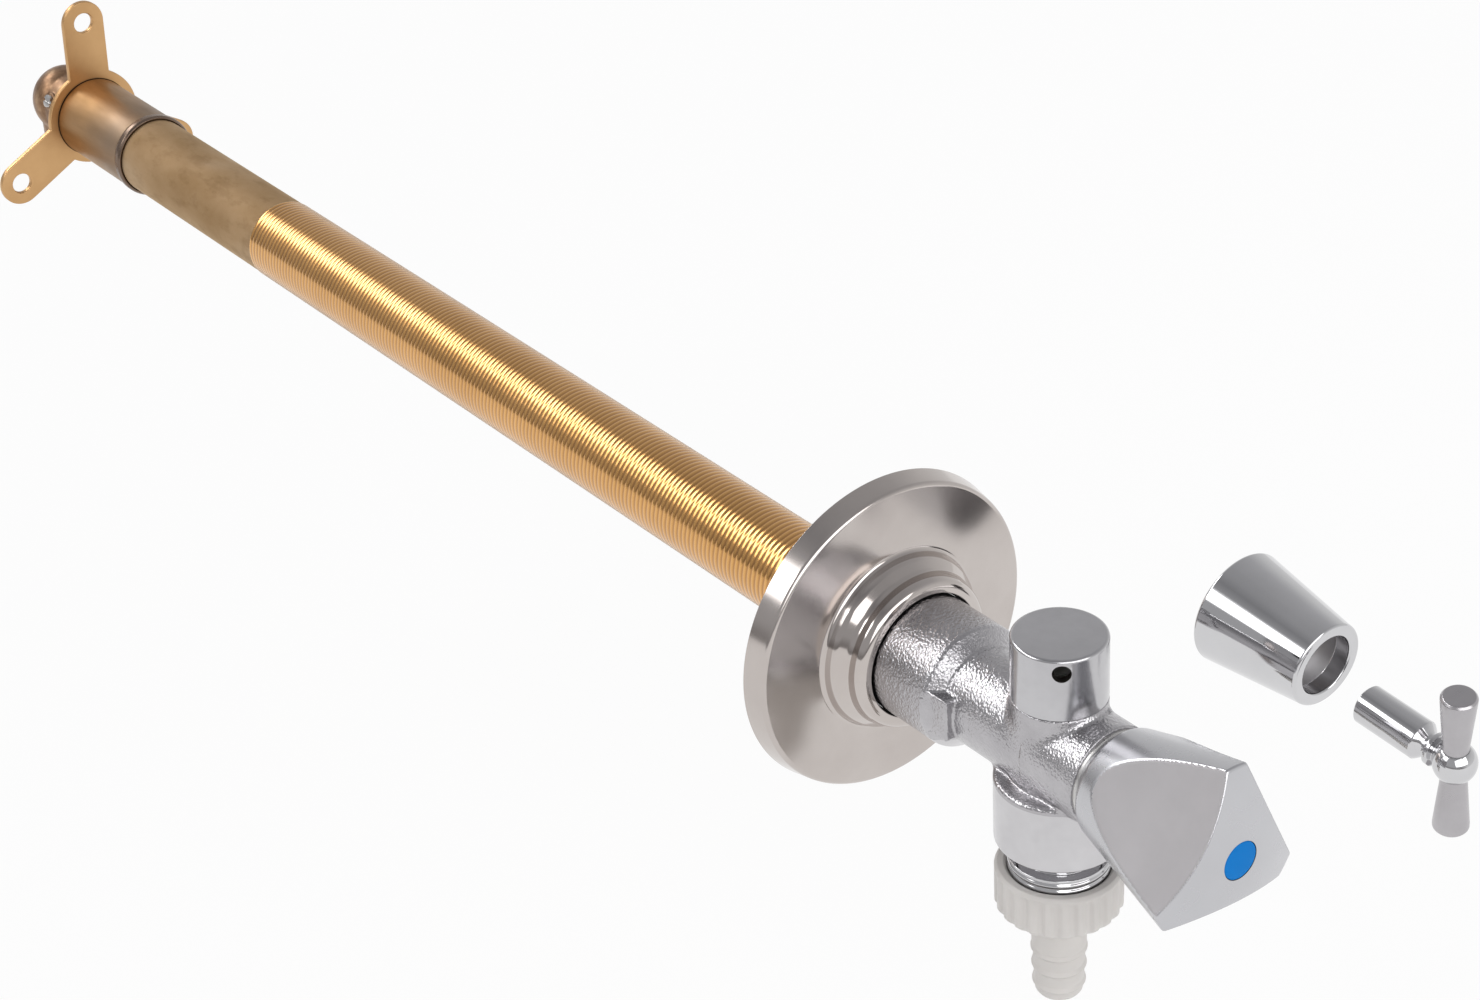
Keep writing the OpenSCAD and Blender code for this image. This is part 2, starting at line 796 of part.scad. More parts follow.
module breaker_cap() {
  bore_r = boss_d/2 - cap_wall;
  upper_r = bore_r - 1;
  ledge_z = air_seat_z + air_seat_t + seat_gap;
  inner_top_z = cap_top_z - 1.2;
  foot = 0.3;
  color("silver")
    difference() {
      upright(concat(
        [[0, inner_top_z], [upper_r, inner_top_z], [upper_r, ledge_z], [bore_r, ledge_z], [bore_r, boss_z],
         [boss_d/2 - foot, boss_z], [boss_d/2, boss_z + foot]],
        round_corner([boss_d/2 - cap_round, cap_top_z - cap_round], cap_round, 0, 90),
        [[0, cap_top_z]]));
      for (i = [0:vents - 1])
        translate([0, -spout_reach, cap_top_z - vent_drop])
          rotate([0, 90, vent_turn + 360*i/vents])
            translate([0, 0, upper_r - 1])
              cylinder(d = vent_d, h = boss_d, $fn = 48);
    }
}

module breaker_seat() {
  body_r = way_d/2 - 0.5 - seat_gap;
  cup_r = body_r - 1.4;
  floor_t = 2;
  floor_z = float_z - seat_gap;
  flange_r = boss_d/2 - cap_wall - seat_gap;
  water_hole_r = 1.6;
  color("goldenrod")
    difference() {
      upright([[0, floor_z - floor_t], [body_r, floor_z - floor_t], [body_r, boss_z], [flange_r, boss_z],
               [flange_r, air_seat_z], [cup_r, air_seat_z], [cup_r, floor_z], [0, floor_z]]);
      for (i = [0:3])
        translate([0, -spout_reach, floor_z - floor_t - 1])
          rotate(90*i)
            translate([0.6*cup_r, 0, 0])
              cylinder(r = water_hole_r, h = floor_t + 2, $fn = 24);
    }
}

module breaker_float() {
  float_r = way_d/2 - 0.5 - seat_gap - 1.4 - free_gap;
  color("dimgray")
    upright([[0, float_z], [float_r, float_z], [float_r, float_z + float_t - 0.6],
             [float_r - 0.6, float_z + float_t], [0, float_z + float_t]]);
}

module air_seat() {
  seat_r = boss_d/2 - cap_wall - seat_gap;
  color("white")
    difference() {
      post(seat_r, air_seat_z, air_seat_z + air_seat_t);
      post(air_hole_d/2, air_seat_z - 1, air_seat_z + air_seat_t + 1);
    }
}

module cap_ring() {
  body_r = way_d/2 - 0.5 - seat_gap;
  color("black")
    translate([0, -spout_reach, boss_z - cap_ring_t/2])
      o_ring(body_r + seat_gap, cap_ring_t - 2*seat_gap);
}

// Outlet nipple with its check valve

module outlet_nipple() {
  top_z = collar_z + nipple_grip;
  ledge_z = check_z;
  chamfer = 1;
  rim_edge = 0.4;
  thread_r = outlet_thread_d/2;
  thread_z = nipple_z + chamfer;
  turns = floor((rim_z - rim_edge - thread_z)/thread_pitch);
  color("silver")
    upright(concat(
      [[nipple_bore_d/2, nipple_z], [thread_r - chamfer, nipple_z]],
      thread_outline(thread_r, thread_z, turns),
      [[thread_r, thread_z + turns*thread_pitch], [thread_r, rim_z - rim_edge], [thread_r - rim_edge, rim_z],
       [nipple_neck_d/2, rim_z], [nipple_neck_d/2, top_z], [nipple_bore_d/2 - 1, top_z],
       [nipple_bore_d/2 - 1, ledge_z], [nipple_bore_d/2, ledge_z]]));
}

module nipple_gasket() {
  top_z = collar_z + nipple_grip;
  color("black")
    difference() {
      post(nipple_neck_d/2, top_z, top_z + gasket_t);
      post(way_d/2 - 1, top_z - 1, top_z + gasket_t + 1);
    }
}

module check_cage() {
  cage_r = nipple_bore_d/2 - seat_gap;
  wall = 1.2;
  top_t = 2;
  foot_z = check_foot_z();
  hub_r = 3;
  spoke_w = 1.6;
  spoke_t = 2;
  color("ivory")
    difference() {
      union() {
        difference() {
          post(cage_r, foot_z, check_z - seat_gap);
          post(cage_r - wall, foot_z - 1, check_z - top_t);
          post(5, foot_z - 1, check_z + 1);
        }
        post(hub_r, foot_z, foot_z + spoke_t);
        for (i = [0:2])
          translate([0, -spout_reach, foot_z])
            rotate(120*i)
              translate([1, -spoke_w/2, 0])
                cube([cage_r - 1.6, spoke_w, spoke_t]);
      }
      post(1.5 + run_gap, foot_z - 1, foot_z + spoke_t + 1);
    }
}

// Height of the foot of the check valve's cage
function check_foot_z() = check_z - 2 - 2.4 - check_lift - 2.6 - 2;

module check_poppet() {
  seat_z = check_z - 2 - seat_gap;
  disc_t = 2.4;
  disc_r = 6.4;
  color("white")
    union() {
      post(disc_r, seat_z - disc_t, seat_z);
      post(1.5, check_foot_z() - 1, seat_z - disc_t + eps);
    }
}

module check_spring() {
  spring_top_z = check_z - 2 - 2*seat_gap - 2.4;
  spring_foot_z = check_foot_z() + 2;
  color("silver")
    difference() {
      post(2.9, spring_foot_z, spring_top_z);
      post(2.2, spring_foot_z - 1, spring_top_z + 1);
    }
}

// Hose union

module union_nut() {
  edge = 1.6;
  groove_r = 1.15;
  color("whitesmoke")
    difference() {
      upright([[tail_r + free_gap, nut_z], [nut_d/2 - edge, nut_z], [nut_d/2, nut_z + edge],
               [nut_d/2, nut_top_z - 1], [nut_d/2 - 0.8, nut_top_z], [nut_bore_r + 0.8, nut_top_z],
               [nut_bore_r, nut_top_z - 0.8], [nut_bore_r, nut_floor_z - seat_gap],
               [tail_r + free_gap, nut_floor_z - seat_gap]]);
      for (i = [0:nut_ribs - 1])
        translate([0, -spout_reach, nut_z - 1])
          rotate(360*(i + 0.5)/nut_ribs)
            translate([nut_d/2 + groove_r - rib_depth, 0, 0])
              cylinder(r = groove_r, h = nut_top_z - nut_z - 1.2, $fn = 24);
    }
}

module hose_washer() {
  color("black")
    difference() {
      post(outlet_thread_d/2 - 0.8, tail_flange_z, nipple_z - seat_gap);
      post(tail_bore_d/2, tail_flange_z - 1, nipple_z + 1);
    }
}

module hose_tail() {
  flange_r = outlet_thread_d/2 - 0.8;
  tip = 3.2;
  rise = 1;
  first_ridge_z = tail_z + tip + (tail_ridges - 1)*ridge_pitch;
  ridge_points = [for (i = [0:tail_ridges - 1])
                    each [[tail_r - i*tail_taper - 0.2, first_ridge_z - i*ridge_pitch + rise],
                          [tail_r - i*tail_taper - 0.2 + ridge_h, first_ridge_z - i*ridge_pitch]]];
  end_r = tail_r - tail_ridges*tail_taper - 0.2;
  color("whitesmoke")
    upright(concat(
      [[tail_bore_d/2, tail_flange_z], [flange_r, tail_flange_z], [flange_r, nut_floor_z],
       [tail_r, nut_floor_z], [tail_r, first_ridge_z + 2*rise]],
      ridge_points,
      [[end_r, tail_z + 0.6], [end_r - 0.6, tail_z], [tail_bore_d/2, tail_z]]));
}

// Headwork and spindle

module headwork() {
  ring_s = front_s - headwork_len/2;
  color("gainsboro")
    difference() {
      union() {
        rod(headwork_d/2, headwork_s, front_s + eps);
        lathe([[0, front_s], [headwork_flange_d/2, front_s], [headwork_flange_d/2, headwork_front_s - 0.5],
               [headwork_flange_d/2 - 0.5, headwork_front_s], [0, headwork_front_s]]);
      }
      rod(spindle_bore_r, headwork_s - 1, headwork_front_s + 1);
      at_s(ring_s - 0.7)
        difference() {
          cylinder(r = headwork_d/2 + 1, h = 1.4);
          translate([0, 0, -1])
            cylinder(r = headwork_d/2 - 1.1, h = 4);
        }
    }
}

module headwork_ring() {
  section = 1.1;
  color("black")
    at_s(front_s - headwork_len/2)
      o_ring(headwork_d/2 - section, section);
}

// Stations of the two rubber rings on the spindle
function spindle_ring_stations() = [headwork_s + headwork_len/4, headwork_s + headwork_len*3/4];

module spindle() {
  groove_r = spindle_d/2 - spindle_ring_t;
  clip_r = spindle_d/2 - 0.9;
  color("darkgoldenrod")
    difference() {
      union() {
        rod(spindle_collar_d/2, spindle_s, collar_front_s);
        rod(spindle_d/2, collar_front_s - eps, square_s);
        at_s(square_s - eps)
          translate([-square_af/2, -square_af/2, 0])
            cube([square_af, square_af, square_len + eps]);
      }
      rod(rod_d/2 + seat_gap, spindle_s - 1, spindle_s + rod_grip);
      cross_pin_hole(spindle_s + rod_grip/2);
      rod(handle_screw_d/2 + seat_gap, square_end_s - 12, square_end_s + 1);
      for (s = spindle_ring_stations())
        at_s(s - spindle_ring_t/2 - 0.1)
          difference() {
            cylinder(r = spindle_d, h = spindle_ring_t + 0.2);
            translate([0, 0, -1])
              cylinder(r = groove_r, h = 4);
          }
      at_s(clip_s)
        difference() {
          cylinder(r = spindle_d, h = clip_t + seat_gap);
          translate([0, 0, -1])
            cylinder(r = clip_r, h = 4);
        }
    }
}

module spindle_rings() {
  color("black")
    for (s = spindle_ring_stations())
      at_s(s)
        o_ring(spindle_d/2 - spindle_ring_t, spindle_ring_t);
}

module spindle_clip() {
  inner_r = spindle_d/2 - 0.9 + seat_gap;
  outer_r = spindle_d/2 + 2.3;
  mouth_w = 5;
  color("silver")
    difference() {
      rod(outer_r, clip_s, clip_s + clip_t);
      rod(inner_r, clip_s - 1, clip_s + clip_t + 1);
      at_s(clip_s - 1)
        translate([-mouth_w/2, 0, 0])
          cube([mouth_w, 2*outer_r, clip_t + 2]);
    }
}

// Handle

// Cone under a dome, cut by three dished sides, with corners at the top and 120 degrees to each side
module handle_shape() {
  flare = (handle_front_d - handle_rear_d)/2/(corner_s - handle_s);
  slope = atan(flare);
  round_place = handle_rear_d/2 + flare*handle_round - handle_round/cos(slope);
  difference() {
    intersection() {
      lathe(concat(
        [[0, handle_s]],
        round_corner([round_place, handle_s + handle_round], handle_round, -90, -slope),
        [[handle_rear_d/2 + flare*handle_len, apex_s], [0, apex_s]]));
      at_s(apex_s - dome_r)
        sphere(r = dome_r, $fn = 200);
    }
    at_s(handle_s + scoop_place)
      for (i = [0:2])
        rotate(90 + handle_turn + 60 + 120*i)
          translate([scoop_floor + scoop_r, 0, 0])
            sphere(r = scoop_r, $fn = 200);
  }
}

module handle() {
  hub_r = square_af/2*sqrt(2) + 2;
  hub_s = square_s + seat_gap;
  hollow_r = handle_rear_d/2 - handle_round - handle_wall;
  screw_floor_s = square_end_s + 4;
  disc_floor_s = apex_s - disc_t - 0.6;
  color("silver")
    difference() {
      handle_shape();
      difference() {
        rod(hollow_r, handle_s - 1, handle_s + handle_hollow);
        rod(hub_r, hub_s, handle_s + handle_hollow + 1);
      }
      at_s(hub_s - 1)
        translate([-square_af/2 - run_gap, -square_af/2 - run_gap, 0])
          cube([square_af + 2*run_gap, square_af + 2*run_gap, square_end_s - hub_s + 1.4]);
      rod(handle_screw_d/2 + 0.2, square_end_s - 1, apex_s + 1);
      rod(handle_screw_d, screw_floor_s, apex_s + 1);
      rod(disc_d/2 + seat_gap, disc_floor_s, apex_s + 1);
    }
}

module handle_screw() {
  seat_here_s = square_end_s + 4;
  head_here_t = 0.65*handle_screw_d;
  socket_af = 0.6*handle_screw_d;
  color("gray")
    difference() {
      union() {
        rod(handle_screw_d/2, square_end_s - 10, seat_here_s + eps);
        rod(0.88*handle_screw_d, seat_here_s, seat_here_s + head_here_t);
      }
      at_s(seat_here_s + 0.4*head_here_t)
        hex_bar(socket_af, handle_screw_d);
    }
}

module indicator_disc() {
  floor_s = apex_s - disc_t - 0.6;
  plug_r = handle_screw_d - seat_gap;
  plug_len = 3;
  color("dodgerblue")
    union() {
      intersection() {
        rod(disc_d/2, floor_s, apex_s);
        at_s(apex_s - dome_r)
          sphere(r = dome_r, $fn = 200);
      }
      rod(plug_r, floor_s - plug_len, floor_s + eps);
    }
}

// Cone cover and tee key that take the handle's place in winter

// Puts a shape drawn along +Z onto the leaning axis of the set, u in front of the cover's wide end
module at_set(u, drop = 0) {
  translate([set_x, -cover_s, 0])
    rotate([90 + set_tilt, 0, 0])
      translate([0, -drop, u])
        children();
}

module key_cover() {
  wide_r = nose_d/2 + cover_gap + cover_wall;
  narrow_r = cover_narrow_d/2;
  draft = (wide_r - narrow_r)/cover_len;
  edge = 0.8;
  lip_len = 5;
  taper_end = cover_len - lip_len - 1.5;
  color("silver")
    at_set(0)
      rotate_extrude()
        polygon([[wide_r - cover_wall, 0], [wide_r - edge, 0], [wide_r, edge],
                 [narrow_r, cover_len - edge], [narrow_r - edge, cover_len],
                 [cover_hole_d/2, cover_len], [cover_hole_d/2, cover_len - lip_len],
                 [wide_r - cover_wall - draft*taper_end, taper_end]]);
}

module tee_key() {
  shank_r = key_shank_d/2;
  neck_r = 0.3*key_shank_d;
  bead_r = 0.42*key_shank_d;
  ball_u = key_shank_len + key_neck_len;
  socket_af = square_af + 0.4;
  socket_len = 13;
  spigot_r = 0.36*key_arm_base_d + seat_gap;
  color("silver")
    at_set(cover_len + set_gap, key_drop)
      rotate(key_roll)
        difference() {
          union() {
            rotate_extrude()
              polygon([[0, 0], [shank_r - 0.5, 0], [shank_r, 0.5],
                       [shank_r, key_shank_len - 1], [shank_r - 0.8, key_shank_len],
                       [neck_r, key_shank_len + 1.4], [neck_r, key_shank_len + 2.6],
                       [bead_r, key_shank_len + 3], [bead_r, key_shank_len + 4.2],
                       [neck_r, key_shank_len + 4.8], [neck_r, ball_u], [0, ball_u]]);
            translate([0, 0, ball_u])
              sphere(d = key_ball_d);
          }
          translate([-socket_af/2, -socket_af/2, -1])
            cube([socket_af, socket_af, socket_len + 1]);
          translate([0, 0, ball_u])
            rotate([90, 0, 0])
              cylinder(r = spigot_r, h = 2*key_ball_d, center = true);
          for (side = [-90, 90])
            translate([0, 0, ball_u])
              rotate([side, 0, 0])
                translate([0, 0, arm_seat()])
                  cylinder(r = key_arm_base_d/2 + seat_gap, h = key_ball_d);
        }
}

// Distance of an arm's seat from the ball's centre
function arm_seat() = sqrt(pow(key_ball_d/2, 2) - pow(key_arm_base_d/2, 2)) - 0.3;

module tee_bar() {
  ball_u = key_shank_len + key_neck_len;
  base_r = key_arm_base_d/2;
  end_r = key_arm_end_d/2;
  spigot_r = 0.36*key_arm_base_d;
  half = key_bar_len/2;
  edge = 0.8;
  color("silver")
    at_set(cover_len + set_gap, key_drop)
      rotate(key_roll)
        for (side = [-90, 90])
          translate([0, 0, ball_u])
            rotate([side, 0, 0])
              rotate_extrude()
                polygon([[0, 0.6], [spigot_r, 0.6], [spigot_r, arm_seat()], [base_r, arm_seat()],
                         [base_r, key_ball_d/2], [end_r, half - 2], [end_r, half - edge],
                         [end_r - edge, half], [0, half]]);
}

outer_tube();
rear_sleeve();
wall_plate();
inlet_elbow();
test_screw();
sleeve_ring();
valve_guide();
valve_piston();
seat_washer();
washer_screw();
stem();
drive_rod();
rod_pins();
tube_gasket();
tap_body();
rosette();
rosette_ring();
breaker_cap();
breaker_seat();
breaker_float();
air_seat();
cap_ring();
outlet_nipple();
nipple_gasket();
check_cage();
check_poppet();
check_spring();
union_nut();
hose_tail();
hose_washer();
headwork();
headwork_ring();
spindle();
spindle_rings();
spindle_clip();
handle();
handle_screw();
indicator_disc();
key_cover();
tee_key();
tee_bar();
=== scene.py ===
# Looks of the frost free sillcock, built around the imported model.
# Lengths are written in millimetres and turned into metres as each mesh is made.
import itertools
import json
import math

import bmesh
import bpy
import numpy as np
from mathutils import Matrix, Vector


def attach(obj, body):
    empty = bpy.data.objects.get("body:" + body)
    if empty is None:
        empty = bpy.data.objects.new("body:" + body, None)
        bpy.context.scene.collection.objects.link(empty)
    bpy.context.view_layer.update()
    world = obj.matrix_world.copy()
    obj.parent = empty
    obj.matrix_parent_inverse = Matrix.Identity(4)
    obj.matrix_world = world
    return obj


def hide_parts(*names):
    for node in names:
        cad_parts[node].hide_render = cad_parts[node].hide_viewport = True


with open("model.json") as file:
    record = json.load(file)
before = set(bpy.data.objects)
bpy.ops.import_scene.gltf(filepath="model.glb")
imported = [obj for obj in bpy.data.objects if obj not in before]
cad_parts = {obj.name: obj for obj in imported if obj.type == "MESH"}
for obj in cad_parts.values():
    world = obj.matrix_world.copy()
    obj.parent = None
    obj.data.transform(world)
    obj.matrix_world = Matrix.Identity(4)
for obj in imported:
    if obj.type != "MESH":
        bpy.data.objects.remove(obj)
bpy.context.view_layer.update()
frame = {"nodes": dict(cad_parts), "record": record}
nodes = frame["nodes"]

MM = 0.001  # metres in a millimetre

# Places that the frames, materials and pieces below share, in millimetres and degrees.
# A station is a distance along the tap's axis from the wall line, towards the front.
SPOUT = 70.0  # station of the spout's upright axis
PITCH = 1.814
CREST_AT = 0.225  # part of a thread's turn that lies before its crest
THREAD_START = -302.0
SLEEVE_OWN_TONE_S = -398  # stations between which the sleeve's brass turns from its own grey to the gold of a painted reflection of the plate
SLEEVE_REFLECTION_S = -418
SET_AT = (75.4, -55.7, 0)  # middle of the cover's wide end
SET_TILT = 4.2
HUB_R = 25.0  # radii between which the rosette goes from its bright hub to its softer face
FACE_R = 29.0


# Mesh helpers

def make(name, verts, faces, normals=None):
    """Object of the given points, in millimetres, and faces."""
    mesh = bpy.data.meshes.new(name)
    mesh.from_pydata((np.asarray(verts, float)*MM).tolist(), [], faces)
    mesh.validate()
    mesh.polygons.foreach_set("use_smooth", [True]*len(mesh.polygons))
    if normals is not None:
        mesh.normals_split_custom_set_from_vertices(np.asarray(normals, float).tolist())
    mesh.update()
    obj = bpy.data.objects.new(name, mesh)
    bpy.context.scene.collection.objects.link(obj)
    return obj


def finish_piece(obj, body, materials, slot, *replaced):
    """Seats a piece on its body, with its materials and the nodes it stands for."""
    for m in materials:
        obj.data.materials.append(m)
    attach(obj, body)
    if replaced:
        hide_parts(*replaced)


ARC_STEP = 12  # degrees between the points on a rounded corner
SIDE_SHARE = 0.49  # most of a side that one of its roundings takes up
AXIS_R = 0.02  # radius at which an outline stops short of its axis


def rounded(points, closed=True):
    """Corners given as (radius, height, rounding) become points with normals on a smooth outline.
    The outline runs with the solid on its left, so normals point to its right."""
    n = len(points)
    out, nor = [], []
    for i in range(n):
        p = np.array(points[i][:2], float)
        size = points[i][2]
        a = np.array(points[i - 1][:2], float) if (closed or i > 0) else None
        b = np.array(points[(i + 1) % n][:2], float) if (closed or i < n - 1) else None
        ends = []
        for q, sign in ((a, 1), (b, -1)):
            if q is None:
                ends.append(None)
                continue
            d = (p - q)*sign
            ends.append(d/max(np.linalg.norm(d), 1e-9))
        din = ends[0] if ends[0] is not None else ends[1]
        dout = ends[1] if ends[1] is not None else ends[0]
        turn = math.atan2(din[0]*dout[1] - din[1]*dout[0], float(din @ dout))
        right_in = np.array([din[1], -din[0]])
        if abs(turn) < 1e-4:
            out.append(p)
            nor.append(right_in)
            continue
        reach = size*math.tan(abs(turn)/2)
        if a is not None:
            reach = min(reach, SIDE_SHARE*np.linalg.norm(p - a))
        if b is not None:
            reach = min(reach, SIDE_SHARE*np.linalg.norm(b - p))
        radius = reach/math.tan(abs(turn)/2)
        side = 1.0 if turn > 0 else -1.0
        start = p - din*reach
        centre = start - right_in*radius*side
        steps = max(3, int(abs(turn)/math.radians(ARC_STEP)))
        for k in range(steps + 1):
            t = turn*k/steps
            c, s = math.cos(t), math.sin(t)
            r = np.array([c*right_in[0] - s*right_in[1], s*right_in[0] + c*right_in[1]])
            out.append(centre + r*radius*side)
            nor.append(r)
    return np.array(out), np.array(nor)


def ring_faces(segs, count, closed):
    """Faces of a skin that has count points of an outline at each of segs angles."""
    faces = []
    for i in range(segs):
        j = (i + 1) % segs
        for k in range(count if closed else count - 1):
            m = (k + 1) % count
            faces.append((i*count + k, j*count + k, j*count + m, i*count + m))
    return faces


def spun(rows, segs):
    """Rows of radius and height, turned to each of segs angles."""
    ang = np.linspace(0, 2*math.pi, segs, endpoint=False)[:, None]
    level = np.broadcast_to(rows[:, 1], (segs, len(rows)))
    return np.stack([rows[:, 0]*np.cos(ang), rows[:, 0]*np.sin(ang), level], -1).reshape(-1, 3)


def revolved(name, pts, nor, place, segs, closed):
    """Object that points with normals, given as radius and height, sweep about the height axis of a frame."""
    verts = spun(pts, segs) @ place[:3, :3].T + place[:3, 3]
    return make(name, verts, ring_faces(segs, len(pts), closed), spun(nor, segs) @ place[:3, :3].T)


def turned(name, outline, place, segs=160, closed=True):
    """Solid of revolution of a rounded outline."""
    return revolved(name, *rounded(outline, closed), place, segs, closed)


def place_at(origin, x, y, z):
    """Frame with the given origin and axes."""
    m = np.eye(4)
    m[:3, 0], m[:3, 1], m[:3, 2], m[:3, 3] = x, y, z, origin
    return m


# Local frames: height along the tap's axis towards the front, up the spout's axis, and along the winter set
TAP = place_at((0, 0, 0), (1, 0, 0), (0, 0, 1), (0, -1, 0))
UP = place_at((0, -SPOUT, 0), (1, 0, 0), (0, 1, 0), (0, 0, 1))
TILT = math.radians(90 + SET_TILT)
SET = place_at(SET_AT, (1, 0, 0), (0, math.cos(TILT), math.sin(TILT)),
               (0, -math.sin(TILT), math.cos(TILT)))


def shifted(base, x, y, z):
    """Frame moved along its own axes."""
    m = np.eye(4)
    m[:3, 3] = (x, y, z)
    return base @ m


def turned_about(base, axis, degrees):
    """Frame turned about one of its own axes."""
    return base @ np.array(Matrix.Rotation(math.radians(degrees), 4, axis))


def line_inside(obj, place, inside):
    """Gives its second material to the faces of a piece whose radius and height are inside."""
    back = Matrix(np.linalg.inv(place).tolist())
    for face in obj.data.polygons:
        x, y, z = back @ (face.center*1000)
        face.material_index = int(inside(math.hypot(x, y), z))


def copy_of(node, name):
    """New object with a copy of a node's mesh."""
    mesh = nodes[node].data.copy()
    mesh.name = name
    mesh.materials.clear()
    obj = bpy.data.objects.new(name, mesh)
    bpy.context.scene.collection.objects.link(obj)
    return obj


def applied(obj):
    """Bakes an object's modifiers into its mesh."""
    graph = bpy.context.evaluated_depsgraph_get()
    baked = bpy.data.meshes.new_from_object(obj.evaluated_get(graph))
    obj.modifiers.clear()
    old = obj.data
    obj.data = baked
    bpy.data.meshes.remove(old)
    baked.polygons.foreach_set("use_smooth", [True]*len(baked.polygons))
    return obj


WELD = 2e-6  # metres within which points of a copied mesh become one


def softened(node, name, width, angle=35):
    """Copy of a node with the edges that bend by more than an angle broken to a width."""
    obj = copy_of(node, name)
    bm = bmesh.new()
    bm.from_mesh(obj.data)
    bmesh.ops.remove_doubles(bm, verts=bm.verts, dist=WELD)
    bmesh.ops.dissolve_degenerate(bm, edges=bm.edges, dist=WELD/2)
    sharp = [e for e in bm.edges if len(e.link_faces) == 2 and e.calc_face_angle(0) > math.radians(angle)]
    bmesh.ops.bevel(bm, geom=sharp, offset=width*MM, offset_type="OFFSET", segments=2,
                    profile=0.5, affect="EDGES", clamp_overlap=True)
    bm.to_mesh(obj.data)
    bm.free()
    obj.data.polygons.foreach_set("use_smooth", [True]*len(obj.data.polygons))
    weighted = obj.modifiers.new("weighted", "WEIGHTED_NORMAL")
    weighted.keep_sharp = False
    weighted.weight = 60
    return applied(obj)


def cast(node, name, voxel, passes, keep):
    """Copy of a node with its edges and inner corners rounded as on a casting."""
    obj = copy_of(node, name)
    bm = bmesh.new()
    bm.from_mesh(obj.data)
    bmesh.ops.remove_doubles(bm, verts=bm.verts, dist=WELD)
    bm.to_mesh(obj.data)
    bm.free()
    remesh = obj.modifiers.new("remesh", "REMESH")
    remesh.mode = "VOXEL"
    remesh.voxel_size = voxel*MM
    smooth = obj.modifiers.new("smooth", "CORRECTIVE_SMOOTH")
    smooth.use_only_smooth = True
    smooth.factor = 0.5
    smooth.iterations = passes
    fewer = obj.modifiers.new("fewer", "DECIMATE")
    fewer.ratio = keep
    return applied(obj)


# Forms given by a signed distance in millimetres, below zero inside

def meet(a, b, size):
    """What lies in both forms, with the edge between them rounded."""
    u, v = np.maximum(size + a, 0), np.maximum(size + b, 0)
    return np.minimum(-size, np.maximum(a, b)) + np.hypot(u, v)


def join(a, b, size):
    """What lies in either form, with the corner between them filled to a radius."""
    u, v = np.maximum(size - a, 0), np.maximum(size - b, 0)
    return np.maximum(size, np.minimum(a, b)) - np.hypot(u, v)


def slope_of(field, p, h=0.02):
    """Unit slope of a field at points given as three rows."""
    rows = []
    for axis in range(3):
        step = np.zeros((3,) + (1,)*(p.ndim - 1))
        step[axis] = h
        rows.append(field(p + step) - field(p - step))
    g = np.stack(rows)
    return g/np.maximum(np.linalg.norm(g, axis=0), 1e-9)


def to_frame(rows):
    """Rows of x, station and height as points in the shared frame."""
    return np.stack([rows[0], -rows[1], rows[2]], -1).reshape(-1, 3)


FIELD_PULLS = 6  # times that each point is drawn onto the form


def field_mesh(name, field, low, high, step):
    """Skin of a form inside a box of x, station and height, with a point for each grid cell it crosses."""
    axes = [np.arange(a, b + step, step) for a, b in zip(low, high)]
    inside = field(np.stack(np.meshgrid(*axes, indexing="ij"))) < 0
    n = np.array(inside.shape) - 1
    corners = sum(inside[i:n[0] + i, j:n[1] + j, k:n[2] + k].astype(int)
                  for i, j, k in itertools.product((0, 1), repeat=3))
    crossed = (corners > 0) & (corners < 8)
    number = np.full(crossed.shape, -1)
    number[crossed] = np.arange(crossed.sum())
    p = np.array(low)[:, None] + (np.argwhere(crossed).T + 0.5)*step
    for _ in range(FIELD_PULLS):
        p = p - np.clip(field(p), -step/2, step/2)*slope_of(field, p)
    faces = []
    for axis in range(3):
        filled = np.moveaxis(inside, axis, 0)[:, 1:-1, 1:-1]
        a, b = filled[:-1], filled[1:]
        cell = np.moveaxis(number, axis, 0)
        ring = [cell[:, :-1, :-1], cell[:, 1:, :-1], cell[:, 1:, 1:], cell[:, :-1, 1:]]
        for where, order in ((a & ~b, (3, 2, 1, 0)), (~a & b, (0, 1, 2, 3))):
            quads = np.stack([ring[k][where] for k in order], -1)
            faces.extend((quads if axis != 1 else quads[:, ::-1]).tolist())
    return make(name, to_frame(p), faces, to_frame(slope_of(field, p)))


# Material helpers

def new_material(name, metallic):
    """Material with its tree, its shader and the coordinates that its patterns follow."""
    mat = bpy.data.materials.new(name)
    mat.use_nodes = True
    tree = mat.node_tree
    shader = tree.nodes["Principled BSDF"]
    shader.inputs["Metallic"].default_value = metallic
    coords = tree.nodes.new("ShaderNodeTexCoord")
    return mat, tree, shader, coords.outputs["Object"]


def noise(tree, vector, scale, detail=4.0, rough=0.55, stretch=None):
    """Cloudy pattern, which stretch makes closer or longer along each axis."""
    if stretch is not None:
        mapping = tree.nodes.new("ShaderNodeMapping")
        mapping.inputs["Scale"].default_value = stretch
        tree.links.new(vector, mapping.inputs["Vector"])
        vector = mapping.outputs["Vector"]
    node = tree.nodes.new("ShaderNodeTexNoise")
    node.inputs["Scale"].default_value = scale
    node.inputs["Detail"].default_value = detail
    node.inputs["Roughness"].default_value = rough
    tree.links.new(vector, node.inputs["Vector"])
    return node.outputs["Fac"]


def cells(tree, vector, scale):
    """Distance from the middle of the nearest of many small cells."""
    node = tree.nodes.new("ShaderNodeTexVoronoi")
    node.inputs["Scale"].default_value = scale
    tree.links.new(vector, node.inputs["Vector"])
    return node.outputs["Distance"]


